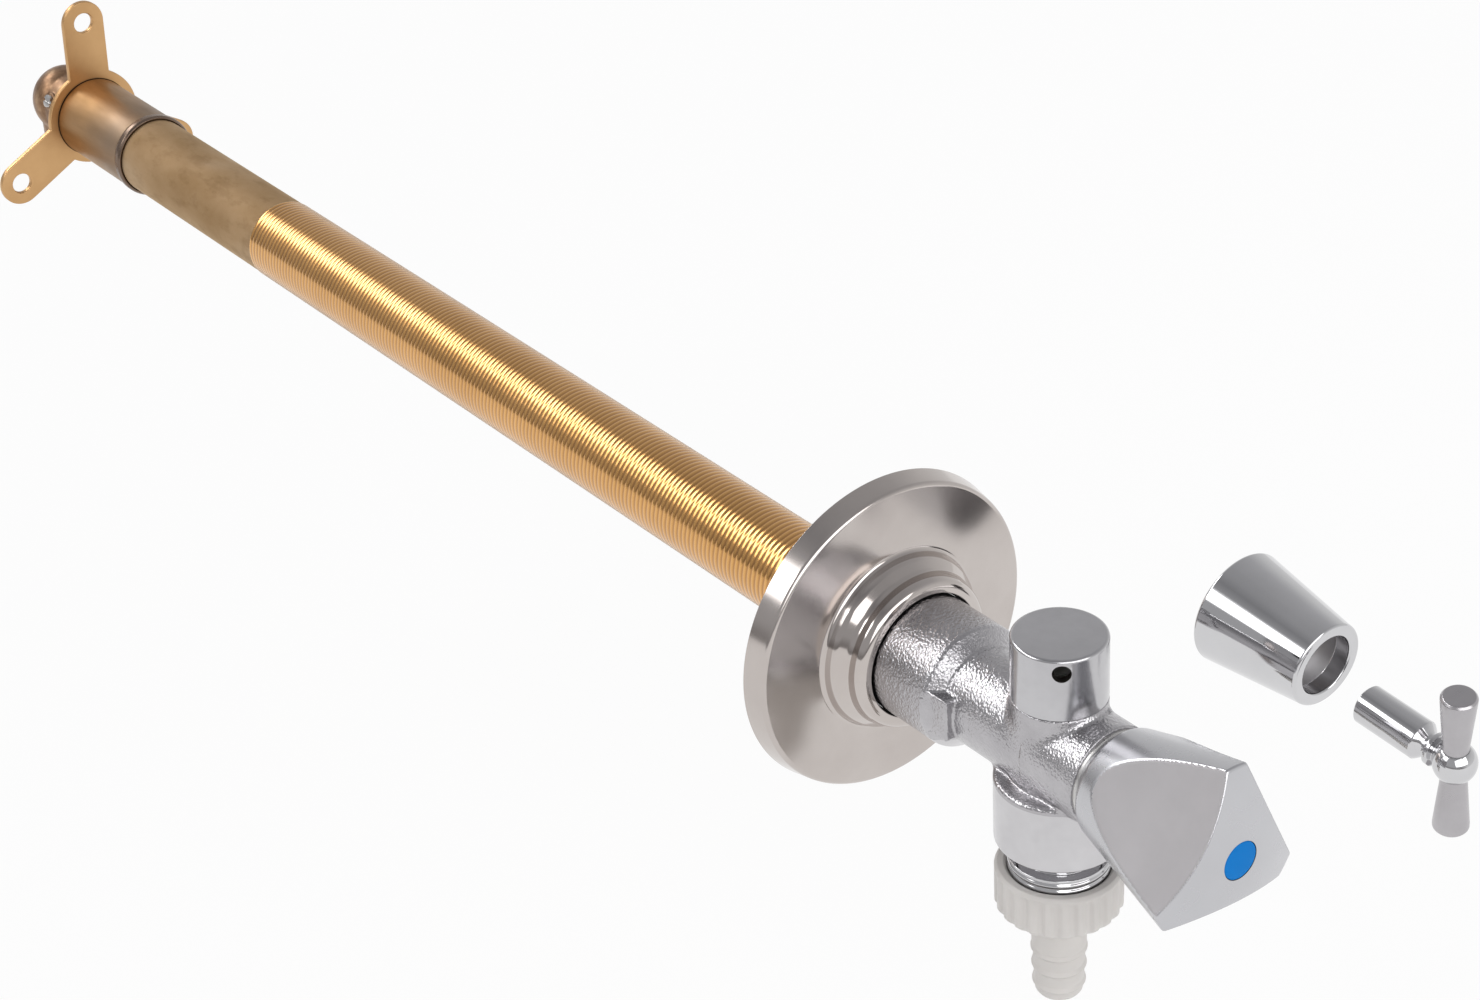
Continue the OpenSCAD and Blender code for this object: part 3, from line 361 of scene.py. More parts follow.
def ramp(tree, value, stops):
    """Colour that follows a value through stops, each a place and a colour."""
    node = tree.nodes.new("ShaderNodeValToRGB")
    while len(node.color_ramp.elements) < len(stops):
        node.color_ramp.elements.new(0.5)
    for element, (at, colour) in zip(node.color_ramp.elements, stops):
        element.position = at
        element.color = (*colour, 1)
    tree.links.new(value, node.inputs["Fac"])
    return node.outputs["Color"]


def two_tones(tree, pattern, dark, light):
    """Colour that goes from dark to light over the middle of a pattern."""
    return ramp(tree, pattern, [(0.32, dark), (0.68, light)])


def spread(tree, value, low, high, start=0.3, end=0.7, held=True):
    """Value carried from the range of start and end to the range of low and high."""
    node = tree.nodes.new("ShaderNodeMapRange")
    node.clamp = held
    node.inputs["From Min"].default_value = start
    node.inputs["From Max"].default_value = end
    node.inputs["To Min"].default_value = low
    node.inputs["To Max"].default_value = high
    tree.links.new(value, node.inputs["Value"])
    return node.outputs["Result"]


def mixed(tree, factor, a, b, kind="MIX"):
    """Two colours mixed by a number or a value."""
    node = tree.nodes.new("ShaderNodeMix")
    node.data_type = "RGBA"
    node.blend_type = kind
    if isinstance(factor, float):
        node.inputs[0].default_value = factor
    else:
        tree.links.new(factor, node.inputs[0])
    # Inputs 6 and 7 are the node's colours, and output 2 is the colour that it gives
    tree.links.new(a, node.inputs[6])
    tree.links.new(b, node.inputs[7])
    return node.outputs[2]


def worked(tree, kind, a, b=None):
    """Output of a maths node on one or two values."""
    node = tree.nodes.new("ShaderNodeMath")
    node.operation = kind
    tree.links.new(a, node.inputs[0])
    if b is not None:
        tree.links.new(b, node.inputs[1])
    return node.outputs[0]


def axes_of(tree, vector):
    """Parts of a vector, to be taken by the names X, Y and Z."""
    node = tree.nodes.new("ShaderNodeSeparateXYZ")
    tree.links.new(vector, node.inputs[0])
    return node.outputs


def mixed_shaders(tree, factor, a, b):
    """Shader that goes from a to b with a value."""
    node = tree.nodes.new("ShaderNodeMixShader")
    for value, socket in zip((factor, a, b), node.inputs):
        tree.links.new(value, socket)
    return node.outputs[0]


def polish(tree, shader, at, scale, detail, rough):
    """Roughness that wanders between two values."""
    tree.links.new(spread(tree, noise(tree, at, scale, detail), *rough), shader.inputs["Roughness"])


def bump(tree, shader, height, depth):
    """Relief of a pattern, with its depth in millimetres."""
    node = tree.nodes.new("ShaderNodeBump")
    node.inputs["Distance"].default_value = depth*MM
    node.inputs["Strength"].default_value = 1.0
    tree.links.new(height, node.inputs["Height"])
    tree.links.new(node.outputs["Normal"], shader.inputs["Normal"])


def metal(name, dark, light, rough, patch=60, grain=900, depth=0.004):
    """Metal with patches of two tones, uneven polish and a fine grain."""
    mat, tree, shader, at = new_material(name, 1.0)
    tree.links.new(two_tones(tree, noise(tree, at, patch, 5, 0.6), dark, light), shader.inputs["Base Color"])
    polish(tree, shader, at, patch*2.3, 6, rough)
    bump(tree, shader, noise(tree, at, grain, 3, 0.5), depth)
    return mat


def plastic(name, dark, light, rough, patch=40, shine=0.5):
    """Plastic or rubber with patches of two close tones, uneven polish and a fine grain."""
    mat, tree, shader, at = new_material(name, 0.0)
    shader.inputs["Specular IOR Level"].default_value = shine
    tone = ramp(tree, noise(tree, at, patch, 4), [(0.35, dark), (0.65, light)])
    tree.links.new(tone, shader.inputs["Base Color"])
    polish(tree, shader, at, patch*3, 5, rough)
    bump(tree, shader, noise(tree, at, 1500, 4), 0.01)
    return mat


# Materials

plate_brass = metal("plate_brass", (0.56, 0.335, 0.155), (0.64, 0.395, 0.19), (0.34, 0.46), grain=1400)
inner_brass = metal("inner_brass", (0.58, 0.38, 0.16), (0.70, 0.48, 0.22), (0.25, 0.40))
screw_brass = metal("screw_brass", (0.70, 0.55, 0.30), (0.82, 0.68, 0.42), (0.14, 0.22))
lip_brass = metal("lip_brass", (0.17, 0.12, 0.09), (0.24, 0.175, 0.135), (0.22, 0.30))
# duller finish inside the winter cover, with its darker tone painted shade of the hollow
dull_and_shaded_inside = metal("dull_and_shaded_inside", (0.36, 0.35, 0.36), (0.42, 0.41, 0.42), (0.50, 0.65))
# painted shade: near black metal for the shaded inside of the breaker cap
painted_shade_inside = metal("painted_shade_inside", (0.05, 0.045, 0.04), (0.09, 0.08, 0.07), (0.5, 0.7))
# painted shade: near black brown for the gaps where the lip and the plate meet the brass
painted_gap_shade = metal("painted_gap_shade", (0.035, 0.022, 0.012), (0.06, 0.04, 0.022), (0.5, 0.7))
steel = metal("steel", (0.55, 0.54, 0.53), (0.66, 0.65, 0.64), (0.22, 0.34))
chrome = metal("chrome", (0.58, 0.578, 0.59), (0.64, 0.638, 0.65), (0.05, 0.08),
               patch=30, grain=500, depth=0.001)
handle_chrome = metal("handle_chrome", (0.53, 0.53, 0.55), (0.57, 0.57, 0.592), (0.24, 0.30),
                      patch=30, grain=1200, depth=0.0015)
satin_chrome = metal("satin_chrome", (0.515, 0.50, 0.51), (0.555, 0.54, 0.55), (0.72, 0.78),
                     patch=30, grain=1200, depth=0.0015)
key_chrome = metal("key_chrome", (0.44, 0.425, 0.44), (0.50, 0.485, 0.50), (0.26, 0.34),
                   grain=1200, depth=0.002)
white_plastic = plastic("white_plastic", (0.60, 0.575, 0.55), (0.66, 0.635, 0.61), (0.38, 0.52))
inner_plastic = plastic("inner_plastic", (0.74, 0.74, 0.70), (0.82, 0.82, 0.78), (0.35, 0.5))
blue_plastic = plastic("blue_plastic", (0.004, 0.172, 0.52), (0.006, 0.184, 0.56), (0.34, 0.42),
                       patch=60, shine=0.05)
rubber = plastic("rubber", (0.012, 0.012, 0.012), (0.028, 0.028, 0.027), (0.55, 0.7), patch=90)


def make_thread_brass():
    """Cut brass with painted shade in its grooves, which makes them darker than its crests."""
    mat, tree, shader, at = new_material("thread_brass", 1.0)
    tone = two_tones(tree, noise(tree, at, 45, 5, 0.6), (0.70, 0.365, 0.10), (0.78, 0.42, 0.13))
    turn = spread(tree, axes_of(tree, at)["Y"], -2*math.pi*CREST_AT, 2*math.pi*(1 - CREST_AT),
                  -THREAD_START*MM, -(THREAD_START + PITCH)*MM, False)
    wave = spread(tree, worked(tree, "COSINE", turn), 0.0, 1.0, -1.0, 1.0)
    # painted shade: the colour is darkened in each groove, in step with the thread's turns
    groove = ramp(tree, wave, [(0.0, (0.62, 0.55, 0.48)), (0.75, (1, 1, 1))])
    tree.links.new(mixed(tree, 1.0, tone, groove, "MULTIPLY"), shader.inputs["Base Color"])
    polish(tree, shader, at, 100, 6, (0.15, 0.22))
    shader.inputs["Coat Weight"].default_value = 0.8
    shader.inputs["Coat Roughness"].default_value = 0.16
    bump(tree, shader, noise(tree, at, 1500, 3, 0.5), 0.001)
    return mat


def make_sleeve_brass():
    """Satin brass that is golden at the plate, where the plate's reflection is painted on, and greyer towards the
    lip.
    """
    mat, tree, shader, at = new_material("sleeve_brass", 1.0)
    clouds = noise(tree, at, 110, 5, 0.6, (1.0, 0.15, 1.0))
    grey = two_tones(tree, clouds, (0.25, 0.17, 0.11), (0.35, 0.25, 0.17))
    # painted reflection: a golden tone near the plate stands for the plate mirrored in the sleeve
    plate_reflection_gold = two_tones(tree, clouds, (0.32, 0.185, 0.08), (0.48, 0.295, 0.15))
    rear = spread(tree, axes_of(tree, at)["Y"], 0.0, 1.0, -SLEEVE_OWN_TONE_S*MM, -SLEEVE_REFLECTION_S*MM)
    tree.links.new(mixed(tree, rear, grey, plate_reflection_gold), shader.inputs["Base Color"])
    polish(tree, shader, at, 120, 6, (0.40, 0.52))
    bump(tree, shader, noise(tree, at, 900, 3, 0.5), 0.002)
    return mat


def make_dull_brass():
    """Drawn tube that has tarnished in clouds and along its length."""
    mat, tree, shader, at = new_material("dull_brass", 1.0)
    base = ramp(tree, noise(tree, at, 30, 6, 0.58, (1.5, 0.8, 1.5)),
                [(0.30, (0.40, 0.265, 0.135)), (0.50, (0.49, 0.345, 0.20)), (0.70, (0.56, 0.425, 0.285))])
    spots = ramp(tree, noise(tree, at, 220, 4, 0.6, (1.0, 0.5, 1.0)),
                 [(0.34, (0.62, 0.55, 0.45)), (0.50, (1, 1, 1))])
    tree.links.new(mixed(tree, 0.35, base, spots, "MULTIPLY"), shader.inputs["Base Color"])
    polish(tree, shader, at, 90, 5, (0.72, 0.82))
    bump(tree, shader, noise(tree, at, 500, 3, 0.5, (1.0, 0.1, 1.0)), 0.002)
    return mat


def make_dark_brass():
    """Rough brown casting with lighter patches where its skin is rubbed."""
    mat, tree, shader, at = new_material("dark_brass", 1.0)
    base = ramp(tree, noise(tree, at, 180, 6, 0.65),
                [(0.30, (0.15, 0.085, 0.05)), (0.52, (0.30, 0.18, 0.105)), (0.74, (0.50, 0.34, 0.21))])
    tree.links.new(base, shader.inputs["Base Color"])
    polish(tree, shader, at, 240, 5, (0.30, 0.48))
    bump(tree, shader, noise(tree, at, 420, 5, 0.6), 0.06)
    return mat


def make_cast_chrome(name, dark, light, depth, rough):
    """Chrome over a blasted casting: a fine skin of small bright facets."""
    mat, tree, shader, at = new_material(name, 1.0)
    tree.links.new(two_tones(tree, noise(tree, at, 70, 5, 0.6), dark, light), shader.inputs["Base Color"])
    polish(tree, shader, at, 500, 4, rough)
    facets = spread(tree, cells(tree, at, 1300), 0.0, 0.4, 0.0, 0.8)
    bump(tree, shader, worked(tree, "ADD", noise(tree, at, 1100, 2, 0.6), facets), depth)
    return mat


def make_stainless():
    """Pressed sheet, bright on its hub and brushed softer on its flat face."""
    mat, tree, shader, at = new_material("stainless", 1.0)
    tone = two_tones(tree, noise(tree, at, 35, 5, 0.6), (0.52, 0.475, 0.45), (0.58, 0.535, 0.51))
    tree.links.new(tone, shader.inputs["Base Color"])
    axes = axes_of(tree, at)
    across = worked(tree, "MULTIPLY", axes["X"], axes["X"])
    up = worked(tree, "MULTIPLY", axes["Z"], axes["Z"])
    radius = worked(tree, "SQRT", worked(tree, "ADD", across, up))
    face = spread(tree, radius, 0.09, 0.15, HUB_R*MM, FACE_R*MM)
    cloud = spread(tree, noise(tree, at, 80, 6), -0.02, 0.02)
    tree.links.new(worked(tree, "ADD", face, cloud), shader.inputs["Roughness"])
    bump(tree, shader, noise(tree, at, 1600, 3, 0.5), 0.0012)
    return mat


thread_brass = make_thread_brass()
stainless = make_stainless()
satin_brass = make_sleeve_brass()
dull_brass = make_dull_brass()
dark_brass = make_dark_brass()
cast_chrome = make_cast_chrome("cast_chrome", (0.43, 0.42, 0.435), (0.51, 0.50, 0.515), 0.19, (0.20, 0.26))
collar_chrome = make_cast_chrome("collar_chrome", (0.56, 0.55, 0.565), (0.63, 0.62, 0.635), 0.04, (0.20, 0.26))
cap_chrome = make_cast_chrome("cap_chrome", (0.50, 0.495, 0.51), (0.56, 0.555, 0.57), 0.006, (0.16, 0.22))

BY_SLOT = {"brass": inner_brass, "satin_brass": satin_brass, "dark_brass": dark_brass, "bright_brass": screw_brass,
           "satin_chrome": cast_chrome, "chrome": chrome, "stainless": steel, "rubber": rubber,
           "white_plastic": white_plastic, "inner_plastic": inner_plastic, "blue_plastic": blue_plastic}
for part in frame["record"]["subparts"]:
    mesh = nodes[part["node"]].data
    mesh.materials.clear()
    mesh.materials.append(BY_SLOT[part["material_slot"]])


# Threads

WAVE_ROWS = 8  # rows of points on each turn
THREAD_SEGS = 112
THREAD_R = 13.22
GROOVE_R = 12.6  # radius of the solid under a thread's skin


def thread_skin(name, place, start, turns, depth, lean_most):
    """Outside of a thread: for each turn a ring with a worn round crest and a groove."""
    rows = np.arange(turns*WAVE_ROWS)
    turn = 2*math.pi*(rows/WAVE_ROWS - CREST_AT)
    lean = math.radians(lean_most)*np.sin(turn)
    pts = np.stack([THREAD_R - depth*(1 - np.cos(turn))/2, start + rows*PITCH/WAVE_ROWS], -1)
    return revolved(name, pts, np.stack([np.cos(lean), np.sin(lean)], -1), place, THREAD_SEGS, False)


# Tube: plain tarnished rear, threaded front

TUBE_BORE = 10.5
TUBE_R = 13.0
TUBE_REAR = -401.2
TUBE_FRONT = 18.9
TUBE_FRONT_R = 13.2
THREAD_TURNS = 167
THREAD_END = THREAD_START + (THREAD_TURNS - 0.55)*PITCH

tube = turned("tube", [
    (TUBE_BORE, TUBE_REAR, 0.1), (TUBE_R, TUBE_REAR, 0.2), (TUBE_R, THREAD_START, 0.05),
    (GROOVE_R, THREAD_START + 0.1, 0.05), (GROOVE_R, THREAD_END, 0.1), (TUBE_FRONT_R, THREAD_END, 0.1),
    (TUBE_FRONT_R, TUBE_FRONT, 0.1), (TUBE_BORE, TUBE_FRONT, 0.1)], TAP, segs=128)
finish_piece(tube, "tap", [dull_brass], "brass", "outer_tube")
tube_wind = thread_skin("tube_wind", TAP, THREAD_START, THREAD_TURNS, depth=0.30, lean_most=9)
finish_piece(tube_wind, "tap", [thread_brass], "brass")

# Rear sleeve with its rolled lip, and a dark ring of painted shade in the gap at each end

SLEEVE_BORE = 10.6
SLEEVE_R = 13.85
SLEEVE_REAR = -433.2
SLEEVE_FRONT = -391.0
SOCKET_R = 13.05  # room for the tube's end
SOCKET_S = -403.2
LIP_BORE = 13.3
LIP_R = 14.3
LIP_REAR = -392.0
LIP_FRONT = -388.25
SEAMS = (("lip_seam", 13.12, -388.35), ("plate_seam", 13.9, -432.95))  # name, radius and station

sleeve = turned("sleeve", [
    (SLEEVE_BORE, SLEEVE_REAR, 0.1), (SLEEVE_R, SLEEVE_REAR, 0.1), (SLEEVE_R, SLEEVE_FRONT, 0.2),
    (SOCKET_R, SLEEVE_FRONT, 0.1), (SOCKET_R, SOCKET_S, 0.1), (SLEEVE_BORE, SOCKET_S, 0.1)], TAP)
finish_piece(sleeve, "tap", [satin_brass], "satin_brass", "rear_sleeve")
lip = turned("sleeve_lip", [
    (LIP_BORE, LIP_REAR, 0.05), (SLEEVE_R, LIP_REAR, 0.1), (LIP_R, LIP_REAR + 1.2, 0.9),
    (LIP_R, LIP_FRONT - 0.85, 0.8), (SLEEVE_R, LIP_FRONT, 0.3), (LIP_BORE, LIP_FRONT, 0.2)], TAP)
finish_piece(lip, "tap", [lip_brass], "satin_brass")
# painted shade: thin dark rings in the gap at the lip and in the corner at the plate
for name, radius, station in SEAMS:
    inner, outer, rear, front = radius - 0.12, radius + 0.18, station - 0.2, station + 0.1
    seam = turned(name, [(inner, rear, 0.05), (outer, rear, 0.1), (outer, front, 0.1), (inner, front, 0.05)],
                  TAP)
    finish_piece(seam, "tap", [painted_gap_shade], "dark_brass")

# Wall plate, and the elbow with its screw

plate = softened("wall_plate", "plate", 0.35)
finish_piece(plate, "tap", [plate_brass], "satin_brass", "wall_plate")

elbow = cast("inlet_elbow", "elbow", voxel=0.35, passes=6, keep=0.5)
finish_piece(elbow, "tap", [dark_brass], "dark_brass", "inlet_elbow")

screw = softened("test_screw", "test_screw_head", 0.2)
finish_piece(screw, "tap", [steel], "bright_brass", "test_screw")

# Rosette: from the rim over the face and the hub's steps to its mouth, and back along the inside

ROSETTE_R = 44.4
HUB_FRONT = 18.9
MOUTH_R = 17.6

rosette = turned("rosette_shell", [
    (ROSETTE_R - 1.2, 0.05, 0.1), (ROSETTE_R, 0.0, 0.1), (43.15, 6.7, 1.4), (25.1, 7.9, 1.5), (24.2, 11.0, 3.5),
    (21.6, 13.9, 3.0), (21.45, 16.6, 2.5), (20.7, 18.2, 2.5), (19.2, HUB_FRONT, 2.5), (MOUTH_R, HUB_FRONT, 0.3),
    (MOUTH_R, HUB_FRONT - 1.2, 0.2), (20.1, 17.0, 1.0), (20.25, 12.6, 1.0), (22.8, 10.0, 1.0), (23.5, 8.0, 0.6),
    (25.4, 6.6, 0.6), (42.0, 5.5, 0.6)], TAP, segs=256)
finish_piece(rosette, "rosette", [stainless], "stainless", "rosette")

# Tap body and cap

NECK_R = 17.0
NECK_START = 1.0
NECK_END = 37.5
SHOULDER_LEN = 3.8
PAD_X = 15.5
PAD_Z = 6.0
PAD_LEN = 7.8
BARREL_R = 13.25
BARREL_START = 30.0
BARREL_END = 71.0
FRONT_R = 13.6  # barrel in front of the spout's axis
FRONT_END = 88.6
BOSS_R = 12.15
BOSS_LOW = -10.0
BOSS_TOP = 14.9
COLLAR_R = 16.5
COLLAR_LOW = -28.0
COLLAR_TOP = -8.6
AXIS_BORES = ((13.27, -1.0, 21.0), (9.5, 20.0, 80.6), (10.45, 79.6, 90.0))  # radius, start and end
SPOUT_BORES = ((8.5, 0.0, 16.0), (10.4, 13.0, 16.0), (9.0, -20.0, 0.0), (10.55, -29.0, -19.0))
BORE_EDGE = 0.1
BODY_BOX = (-18.0, 0.3, -29.0), (18.0, 89.4, 18.0)
BODY_STEP = 0.5
COLLAR_SKIN_R = 16.0  # outside this and below the next, the collar is polished
COLLAR_SKIN_Z = -10.2
CAP_SKIN_R = 11.9  # inside this and below the next, the cap's inside is painted near black as shade
CAP_SKIN_Z = 32.0


def body_field(p):
    """Neck, shoulder, spanner pads, barrel, boss and collar, blended as in a casting, less the bores."""
    x, s, z = p
    r, up = np.hypot(x, z), np.hypot(x, s - SPOUT)

    def rod(radius, start, end, edge):
        return meet(r - radius, np.maximum(start - s, s - end), edge)

    def post(radius, low, high, edge):
        return meet(up - radius, np.maximum(low - z, z - high), edge)

    lean = math.atan2(NECK_R - BARREL_R, SHOULDER_LEN)
    shoulder = (r - NECK_R)*math.cos(lean) + (s - NECK_END)*math.sin(lean)
    neck = meet(meet(r - NECK_R, shoulder, 0.5), NECK_START - s, 0.8)
    form = join(neck, rod(BARREL_R, BARREL_START, BARREL_END, 0.1), 0.4)
    pads = meet(np.abs(x) - PAD_X, np.abs(z) - PAD_Z, 0.6)
    pads = meet(pads, np.maximum(NECK_END - 1 - s, s - NECK_END - PAD_LEN), 0.8)
    form = join(form, pads, 0.8)
    form = join(form, rod(FRONT_R, SPOUT, FRONT_END, 0.6), 0.3)
    stack = join(post(BOSS_R, BOSS_LOW, BOSS_TOP, 0.3), post(COLLAR_R, COLLAR_LOW, COLLAR_TOP, 1.0), 0.8)
    form = join(form, stack, 1.5)
    for bore in AXIS_BORES:
        form = np.maximum(form, -rod(*bore, BORE_EDGE))
    for bore in SPOUT_BORES:
        form = np.maximum(form, -post(*bore, BORE_EDGE))
    return form


body = field_mesh("body_casting", body_field, *BODY_BOX, BODY_STEP)
line_inside(body, UP, lambda r, h: r > COLLAR_SKIN_R and h < COLLAR_SKIN_Z)
finish_piece(body, "tap", [cast_chrome, collar_chrome], "satin_chrome", "tap_body")

cap = softened("breaker_cap", "cap", 0.25)
line_inside(cap, UP, lambda r, h: r < CAP_SKIN_R and h < CAP_SKIN_Z)
finish_piece(cap, "tap", [cap_chrome, painted_shade_inside], "satin_chrome", "breaker_cap")

# Outlet nipple, with heights above the tap's axis

NIPPLE_BORE = 8.5
NIPPLE_LOW = -43.4
NIPPLE_THREAD = -42.4
NIPPLE_TURNS = 5
RING_R = 13.2  # ring over the thread
RING_LOW = -33.4
RING_TOP = -32.8
STUB_R = 10.5  # upper end, inside the collar
STUB_BORE = 7.5
STUB_STEP = -29.8
STUB_TOP = -21.0

nipple = turned("nipple", [
    (NIPPLE_BORE, NIPPLE_LOW, 0.2), (GROOVE_R - 0.4, NIPPLE_LOW, 0.3), (GROOVE_R, NIPPLE_THREAD, 0.2),
    (GROOVE_R, RING_LOW, 0.2), (RING_R, RING_LOW, 0.1), (RING_R, RING_TOP, 0.25), (STUB_R, RING_TOP, 0.3),
    (STUB_R, STUB_TOP, 0.1), (STUB_BORE, STUB_TOP, 0.1), (STUB_BORE, STUB_STEP, 0.1),
    (NIPPLE_BORE, STUB_STEP, 0.1)], UP)
finish_piece(nipple, "tap", [chrome], "chrome", "outlet_nipple")
nipple_wind = thread_skin("nipple_wind", UP, NIPPLE_THREAD, NIPPLE_TURNS, depth=0.55, lean_most=38)
finish_piece(nipple_wind, "tap", [chrome], "chrome")

# Hose union

NUT_R = 16.45
NUT_LOW = -49.4
NUT_TOP = -36.3
NUT_HOLE = 7.6
NUT_BORE = 13.28
NUT_FLOOR = -47.45
NUT_RIBS = 24
RIB_SEGS = 14  # angles on each rib
RIB_ROWS = 14  # rows along the ribs
RIB_DEPTH = 0.75
RIB_FOOT_R = 14.6  # radius where the grooves between the ribs begin
RIB_TOP = -37.6  # height where they end


def ribbed_nut():
    """Union nut with rounded ribs that fade out under its upper rim."""
    outline, _ = rounded([
        (NUT_HOLE, NUT_LOW, 0.3), (15.2, NUT_LOW, 0.8), (NUT_R, NUT_LOW + 1.4, 1.2), (NUT_R, NUT_TOP - 0.9, 0.8),
        (15.7, NUT_TOP, 0.6), (14.1, NUT_TOP, 0.5), (NUT_BORE, NUT_TOP - 0.8, 0.3), (NUT_BORE, NUT_FLOOR, 0.2),
        (NUT_HOLE, NUT_FLOOR, 0.2)])
    pts = []
    for a, b in zip(outline, np.roll(outline, -1, axis=0)):
        pts.append(a)
        if min(a[0], b[0]) > 16.0 and abs(b[1] - a[1]) > 2:
            pts.extend(a + (b - a)*k/RIB_ROWS for k in range(1, RIB_ROWS))
    r, z = np.array(pts).T
    segs = NUT_RIBS*RIB_SEGS
    ang = (np.arange(segs)*2*math.pi/segs)[:, None]
    dip = np.clip(0.5 + 0.72*np.cos(ang*NUT_RIBS), 0, 1)**1.3
    share = np.clip((r - RIB_FOOT_R)/1.4, 0, 1)*np.clip((RIB_TOP - z)/1.3, 0, 1)
    cut = r - RIB_DEPTH*dip*share
    verts = np.stack([cut*np.cos(ang), cut*np.sin(ang) - SPOUT, np.broadcast_to(z, cut.shape)], -1)
    return make("nut", verts.reshape(-1, 3), ring_faces(segs, len(pts), True))


nut = ribbed_nut()
finish_piece(nut, "union_nut", [white_plastic], "white_plastic", "union_nut")

TAIL_BORE = 4.8
TAIL_R = 7.1
TAIL_TOP = -45.4
TAIL_LOW = -77.4
FLANGE_R = 12.42
FLANGE_LOW = -47.4
BARBS = 3
BARB_R = 6.9
BARB_Z = -63.4  # height of the first barb
BARB_STEP = 5.4

tail_outline = [(TAIL_BORE, TAIL_TOP, 0.2), (FLANGE_R, TAIL_TOP, 0.2), (FLANGE_R, FLANGE_LOW, 0.2),
                (TAIL_R, FLANGE_LOW, 0.2), (TAIL_R, BARB_Z + 1.4, 0.4)]
for i in range(BARBS):
    low = BARB_Z - BARB_STEP*i
    r = BARB_R - 0.2*i
    tail_outline += [(r, low + 1.2, 0.4), (r + 0.5, low, 0.45), (r - 0.15, low - 0.9, 0.5)]
tail_outline += [(6.2, TAIL_LOW + 0.8, 0.4), (5.7, TAIL_LOW, 0.4), (TAIL_BORE, TAIL_LOW, 0.3)]
tail = turned("tail", tail_outline[::-1], UP, segs=128)
finish_piece(tail, "hose_tail", [white_plastic], "white_plastic", "hose_tail")

# Handle

HANDLE_S = 90.3  # station of its rear
CORNER_S = 128.0  # station of its three corners
APEX_S = 132.4  # station of the top of its dome
DOME_R = 68.75
HANDLE_REAR_R = 14.5
HANDLE_FRONT_R = 24.2
HANDLE_TURN = -5.0
SCOOP_AT = 150  # bearing of the first dish before the handle's turn
SCOOP_R = 105.0
SCOOP_FLOOR = 13.0  # from the axis to the deepest point of a dish
SCOOP_PLACE = 32.8  # from the rear to that point
DISH_EDGE = 0.35  # how near the skin is to a dish where it is satin
HOLLOW_R = 10.3
HOLLOW_DEPTH = 12
CORE_R = 6.85  # core inside the hollow, with the spindle's hole
CORE_BORE = 5.0
CORE_S = 92.4
RECESS_R = 5.25
RECESS_S = 129.6
RECESS_FRONT = 132.05
DISC_R = 5.15
DISC_S = 129.8
SKIN_SEGS = 360
SKIN_ROWS = 150
SKIN_FROM = 24.0  # from the rear to the point on the axis that the skin is cast from
SKIN_NEAR = 4.0  # least and most distance from that point to the skin
SKIN_FAR = 60.0
HALVINGS = 48


def scoop_field(p):
    """What the three round dishes leave of the handle. p holds x, station and height rows."""
    x, s, z = p
    along = s - HANDLE_S - SCOOP_PLACE
    reach = SCOOP_FLOOR + SCOOP_R
    sides = []
    for i in range(3):
        a = math.radians(SCOOP_AT + HANDLE_TURN + 120*i)
        gap = np.sqrt((x - reach*math.cos(a))**2 + (z - reach*math.sin(a))**2 + along**2)
        sides.append(SCOOP_R - gap)
    return np.maximum.reduce(sides)


def handle_field(p):
    """Cone under a dome with three dished sides, its edges rounded."""
    x, s, z = p
    r = np.hypot(x, z)
    flare = (HANDLE_FRONT_R - HANDLE_REAR_R)/(CORNER_S - HANDLE_S)
    cone = (r - HANDLE_REAR_R - flare*(s - HANDLE_S))*math.cos(math.atan(flare))
    dome = np.sqrt(r*r + (s - APEX_S + DOME_R)**2) - DOME_R
    form = meet(cone, HANDLE_S - s, 2.2)
    form = meet(form, scoop_field(p), 0.6)
    return meet(form, dome, 0.6)


def handle_mesh():
    """Outer skin cast from the axis onto the rounded form, with the disc's recess and the hollow rear."""
    centre = HANDLE_S + SKIN_FROM
    first = math.atan2(RECESS_R, APEX_S - 0.2 - centre)
    last = math.pi - math.atan2(HOLLOW_R, SKIN_FROM)
    polar = np.linspace(first, last, SKIN_ROWS)
    ang = np.linspace(0, 2*math.pi, SKIN_SEGS, endpoint=False)
    pp, aa = np.meshgrid(polar, ang, indexing="ij")
    way = np.stack([np.sin(pp)*np.cos(aa), np.cos(pp), np.sin(pp)*np.sin(aa)])
    start = np.array([0, centre, 0])[:, None, None]
    low, high = np.full(pp.shape, SKIN_NEAR), np.full(pp.shape, SKIN_FAR)
    for _ in range(HALVINGS):
        mid = (low + high)/2
        inside = handle_field(start + way*mid) < 0
        low, high = np.where(inside, mid, low), np.where(inside, high, mid)
    p = start + way*low
    faces = []
    for i in range(SKIN_ROWS - 1):
        here, there = i*SKIN_SEGS, (i + 1)*SKIN_SEGS
        for j in range(SKIN_SEGS):
            k = (j + 1) % SKIN_SEGS
            faces.append((here + j, there + j, there + k, here + k))
    skin = make("handle_skin", to_frame(p), faces, to_frame(slope_of(handle_field, p)))
    dished = (scoop_field(p) > -DISH_EDGE).reshape(-1)
    skin.data.polygons.foreach_set("material_index", [int(dished[list(f)].all()) for f in faces])
    recess = turned("handle_recess", [
        (RECESS_R, RECESS_FRONT, 0.01), (RECESS_R, RECESS_S, 0.05), (AXIS_R, RECESS_S, 0.01)], TAP, 120, False)
    deep = HANDLE_S + HOLLOW_DEPTH
    hollow = turned("handle_hollow", [
        (CORE_BORE, CORE_S, 0.1), (CORE_R, CORE_S, 0.3), (CORE_R, deep, 0.6), (HOLLOW_R, deep, 0.6),
        (HOLLOW_R, HANDLE_S, 0.05)], TAP, 120, False)
    return skin, recess, hollow


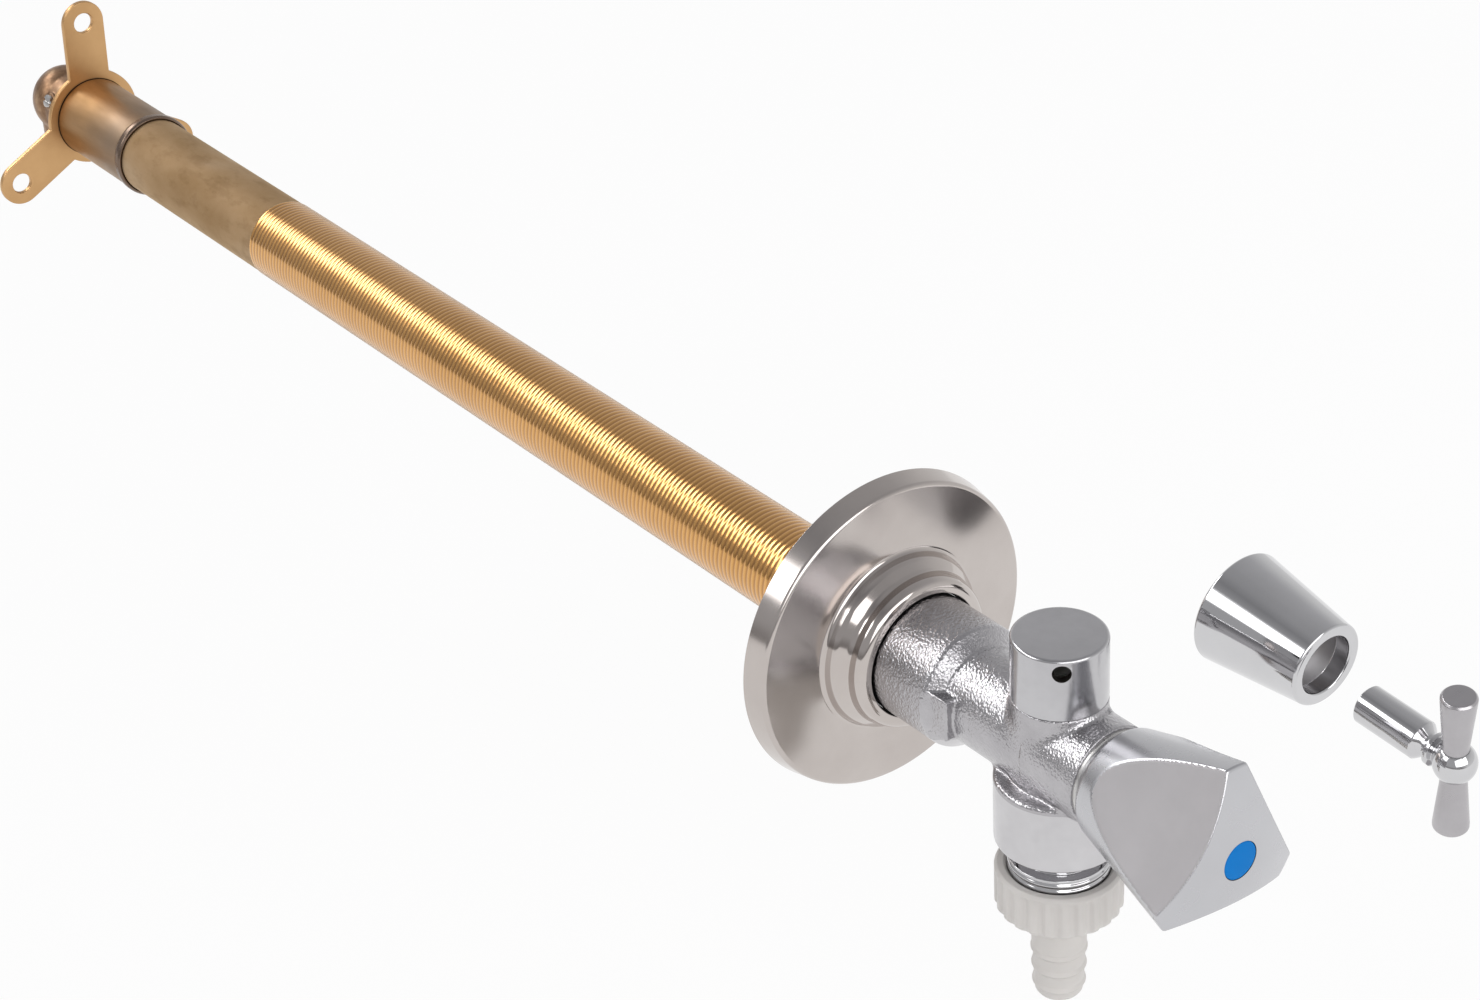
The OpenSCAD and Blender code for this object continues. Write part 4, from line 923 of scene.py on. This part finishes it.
for piece in handle_mesh():
    finish_piece(piece, "handle", [handle_chrome, satin_chrome], "chrome",
                 *(["handle"] if piece.name == "handle_skin" else []))


def disc_outline():
    """Blue disc: domed with the handle's front, its edge broken."""
    def top(r):
        return APEX_S - DOME_R + math.sqrt(DOME_R**2 - r*r)

    dome = [(r, top(r), 0.02) for r in (4.0, 3.0, 2.0, 1.0, AXIS_R)]
    return [(AXIS_R, DISC_S, 0.01), (DISC_R, DISC_S, 0.1), (DISC_R, top(DISC_R), 0.35)] + dome


disc = turned("disc", disc_outline(), TAP, 120)
finish_piece(disc, "handle", [blue_plastic], "blue_plastic", "indicator_disc")

# Winter cover and tee key

COVER_LEN = 32.3
COVER_WIDE_R = 16.0
COVER_NARROW_R = 11.8
COVER_MOUTH_R = 14.0
COVER_INNER_R = 10.75
COVER_HOLE = 8.4
COVER_STEP = 27.3  # height of the hole's inner edge
COVER_DULL_SHADE_TOP = 27.0  # below this, and further than the wall from the outside, the cover is dull, and darker with painted shade
COVER_WALL = 0.8
COVER_TAPER = 0.13

cover = turned("cover", [
    (COVER_MOUTH_R, 0, 0.3), (COVER_WIDE_R, 0, 0.9), (COVER_NARROW_R, COVER_LEN, 1.0),
    (COVER_HOLE, COVER_LEN, 0.7), (COVER_HOLE, COVER_STEP, 0.4), (COVER_INNER_R, COVER_STEP - 1.5, 0.4)],
    SET, segs=200)
line_inside(cover, SET,
            lambda r, h: h < COVER_DULL_SHADE_TOP and r < COVER_WIDE_R - COVER_WALL - COVER_TAPER*h)
finish_piece(cover, "key_cover", [chrome, dull_and_shaded_inside], "chrome", "key_cover")

KEY_GAP = 14.2  # from the cover's narrow end to the key
KEY_SIDE = -3.3
KEY_ROLL = 6
BALL_U = 29.4  # from the key's end to the middle of its ball
PIN_R = 2.4  # part of an arm that sits in the ball
PIN_START = 1.0
ARM_START = 4.28
ARM_ROOT_R = 3.4
ARM_TIP_R = 4.65
ARM_LEN = 22.0
KEY = turned_about(shifted(SET, 0, KEY_SIDE, COVER_LEN + KEY_GAP), "Z", KEY_ROLL)

shank = softened("tee_key", "key_shank", 0.2, 40)
finish_piece(shank, "tee_key", [chrome], "chrome", "tee_key")

arm_outline = [(AXIS_R, PIN_START, 0.01), (PIN_R, PIN_START, 0.1), (PIN_R, ARM_START, 0.05),
               (ARM_ROOT_R, ARM_START, 0.1), (ARM_ROOT_R, 5.7, 0.3), (ARM_TIP_R, ARM_LEN - 1.6, 0.5),
               (ARM_TIP_R, ARM_LEN - 0.7, 0.4), (4.1, ARM_LEN, 0.5), (AXIS_R, ARM_LEN, 0.01)]
for number, side in enumerate((-90, 90)):
    base = turned_about(shifted(KEY, 0, 0, BALL_U), "X", side)
    arm = turned("key_arm_%d" % number, arm_outline, base, 96)
    finish_piece(arm, "tee_key", [key_chrome], "chrome", *(["tee_bar"] if number == 0 else []))


# Stage: pale floor, studio sky, lamp and camera

FLOOR_HALF = 4000
FLOOR_Z = -160
FLOOR_COLOUR = (0.86, 0.86, 0.86, 1)
FLOOR_GLOW = 0.92  # share of pure white that the camera and reflections see


def stage_material():
    """Pale floor that shows white to the camera and in reflections, and still takes a soft shadow."""
    mat, tree, shader, _ = new_material("floor_white", 0.0)
    shader.inputs["Base Color"].default_value = FLOOR_COLOUR
    shader.inputs["Roughness"].default_value = 0.9
    shader.inputs["Specular IOR Level"].default_value = 0.0
    glow = tree.nodes.new("ShaderNodeEmission")
    glow.inputs["Strength"].default_value = 1.0
    path = tree.nodes.new("ShaderNodeLightPath").outputs
    seen = worked(tree, "MAXIMUM", path["Is Camera Ray"], path["Is Glossy Ray"])
    share = spread(tree, seen, 0.0, FLOOR_GLOW, 0.0, 1.0)
    both = mixed_shaders(tree, share, shader.outputs[0], glow.outputs[0])
    tree.links.new(both, tree.nodes["Material Output"].inputs["Surface"])
    return mat


floor = make("floor", [(x*FLOOR_HALF, y*FLOOR_HALF, FLOOR_Z) for x, y in ((-1, -1), (1, -1), (1, 1), (-1, 1))],
             [(0, 1, 2, 3)])
floor.data.materials.append(stage_material())

BACKDROP = (0.99, 0.99, 0.99, 1)  # what the camera sees where nothing stands
SKY_LOW = -0.2  # height on a sky of radius 1 where both sides' colours begin
SIDE_EDGE = 0.25  # how far each side reaches into the other
RIGHT_SKY = [(0.0, (0.85, 0.85, 0.85)), (0.17, (0.80, 0.80, 0.80)), (0.42, (0.70, 0.70, 0.70)),
             (0.70, (0.50, 0.50, 0.51)), (1.0, (0.40, 0.40, 0.41))]
LEFT_SKY = [(0.0, (0.60, 0.60, 0.60)), (0.17, (0.26, 0.25, 0.25)), (0.30, (0.48, 0.48, 0.49)),
            (0.70, (0.48, 0.48, 0.49)), (0.90, (0.28, 0.28, 0.29)), (1.0, (0.40, 0.40, 0.41))]

world = bpy.data.worlds.new("studio")
bpy.context.scene.world = world
world.use_nodes = True
tree = world.node_tree
coords = tree.nodes.new("ShaderNodeTexCoord")
axes = axes_of(tree, coords.outputs["Generated"])
height = spread(tree, axes["Z"], 0.0, 1.0, SKY_LOW, 1.0)
left = spread(tree, axes["X"], 1.0, 0.0, -SIDE_EDGE, SIDE_EDGE)
background = tree.nodes["Background"]
background.inputs["Strength"].default_value = 1.0
tree.links.new(mixed(tree, left, ramp(tree, height, RIGHT_SKY), ramp(tree, height, LEFT_SKY)),
               background.inputs["Color"])

# Long softbox behind and to the left, 25 to 46 degrees up, with its tube along the middle and fuller ends.
# A band is its low and high edge on a sky of radius 1 and its share of the light. Bearings are in radians.
CASE_BAND = (0.50, 0.72, 0.2)
TUBE_BAND = (0.61, 0.68, 1.3)
LEFT_BAND = (0.43, 0.69, 0.6)
REAR_BAND = (0.54, 0.68, 1.7)
BAND_EDGE = 0.03
BOX_START = (1.55, 1.75)
REAR_STOP = (1.95, 2.10)
LEFT_START = (2.45, 2.60)
BOX_STOP = (2.90, 3.05)
PAST_REAR = 0.75  # share of the case and tube that is left beyond the rear end
BOX_STRENGTH = 6.0
bearing = worked(tree, "ARCTAN2", axes["Y"], axes["X"])


def height_band(low, high, share):
    """Glow of a given share between two heights on the sky, with soft edges."""
    rise = spread(tree, axes["Z"], 0.0, share, low - BAND_EDGE, low + BAND_EDGE)
    fall = spread(tree, axes["Z"], 1.0, 0.0, high - BAND_EDGE, high + BAND_EDGE)
    return worked(tree, "MULTIPLY", rise, fall)


def along(glow, before, after, bearings):
    """Glow times a factor that goes from before to after between two bearings."""
    return worked(tree, "MULTIPLY", glow, spread(tree, bearing, before, after, *bearings))


shape = worked(tree, "ADD", height_band(*CASE_BAND), height_band(*TUBE_BAND))
shape = along(shape, 1.0, PAST_REAR, REAR_STOP)
shape = worked(tree, "MAXIMUM", shape, along(height_band(*LEFT_BAND), 0.0, 1.0, LEFT_START))
shape = worked(tree, "MAXIMUM", shape, along(height_band(*REAR_BAND), 1.0, 0.0, REAR_STOP))
shape = along(along(shape, 0.0, 1.0, BOX_START), 1.0, 0.0, BOX_STOP)
softbox = tree.nodes.new("ShaderNodeBackground")
softbox.inputs["Strength"].default_value = BOX_STRENGTH
tree.links.new(shape, softbox.inputs["Color"])
lit = tree.nodes.new("ShaderNodeAddShader")
tree.links.new(background.outputs[0], lit.inputs[0])
tree.links.new(softbox.outputs[0], lit.inputs[1])
white = tree.nodes.new("ShaderNodeBackground")
white.inputs["Color"].default_value = BACKDROP
path = tree.nodes.new("ShaderNodeLightPath")
seen = mixed_shaders(tree, path.outputs["Is Camera Ray"], lit.outputs[0], white.outputs[0])
tree.links.new(seen, tree.nodes["World Output"].inputs["Surface"])

# Lamp and camera, with places in metres
LAMP_AT = (-0.31, -1.74, 0.94)
LAMP_AIM = (0, -0.05, 0)
LAMP_SIZE = (2.3, 1.2)
LAMP_WATTS = 19.5
LENS = 78.81
SENSOR = 36.0
CAMERA_PLACE = ((0.79091, 0.35332, -0.49962, -0.43961),
                (-0.60989, 0.38857, -0.69068, -0.54974),
                (-0.04990, 0.85099, 0.52282, 0.47193),
                (0, 0, 0, 1))

light = bpy.data.lights.new("front_softbox", "AREA")
light.shape = "RECTANGLE"
light.size, light.size_y = LAMP_SIZE
light.energy = LAMP_WATTS
lamp = bpy.data.objects.new("front_softbox", light)
lamp.location = LAMP_AT
lamp.rotation_euler = (Vector(LAMP_AIM) - Vector(LAMP_AT)).to_track_quat("-Z", "Y").to_euler()
bpy.context.scene.collection.objects.link(lamp)

camera_data = bpy.data.cameras.new("camera")
camera_data.sensor_fit = "HORIZONTAL"
camera_data.sensor_width = SENSOR
camera_data.lens = LENS
camera_data.clip_start = 0.01
camera = bpy.data.objects.new("camera", camera_data)
camera.matrix_world = Matrix(CAMERA_PLACE)
bpy.context.scene.collection.objects.link(camera)
bpy.context.scene.camera = camera
bpy.context.scene.view_settings.view_transform = "Standard"
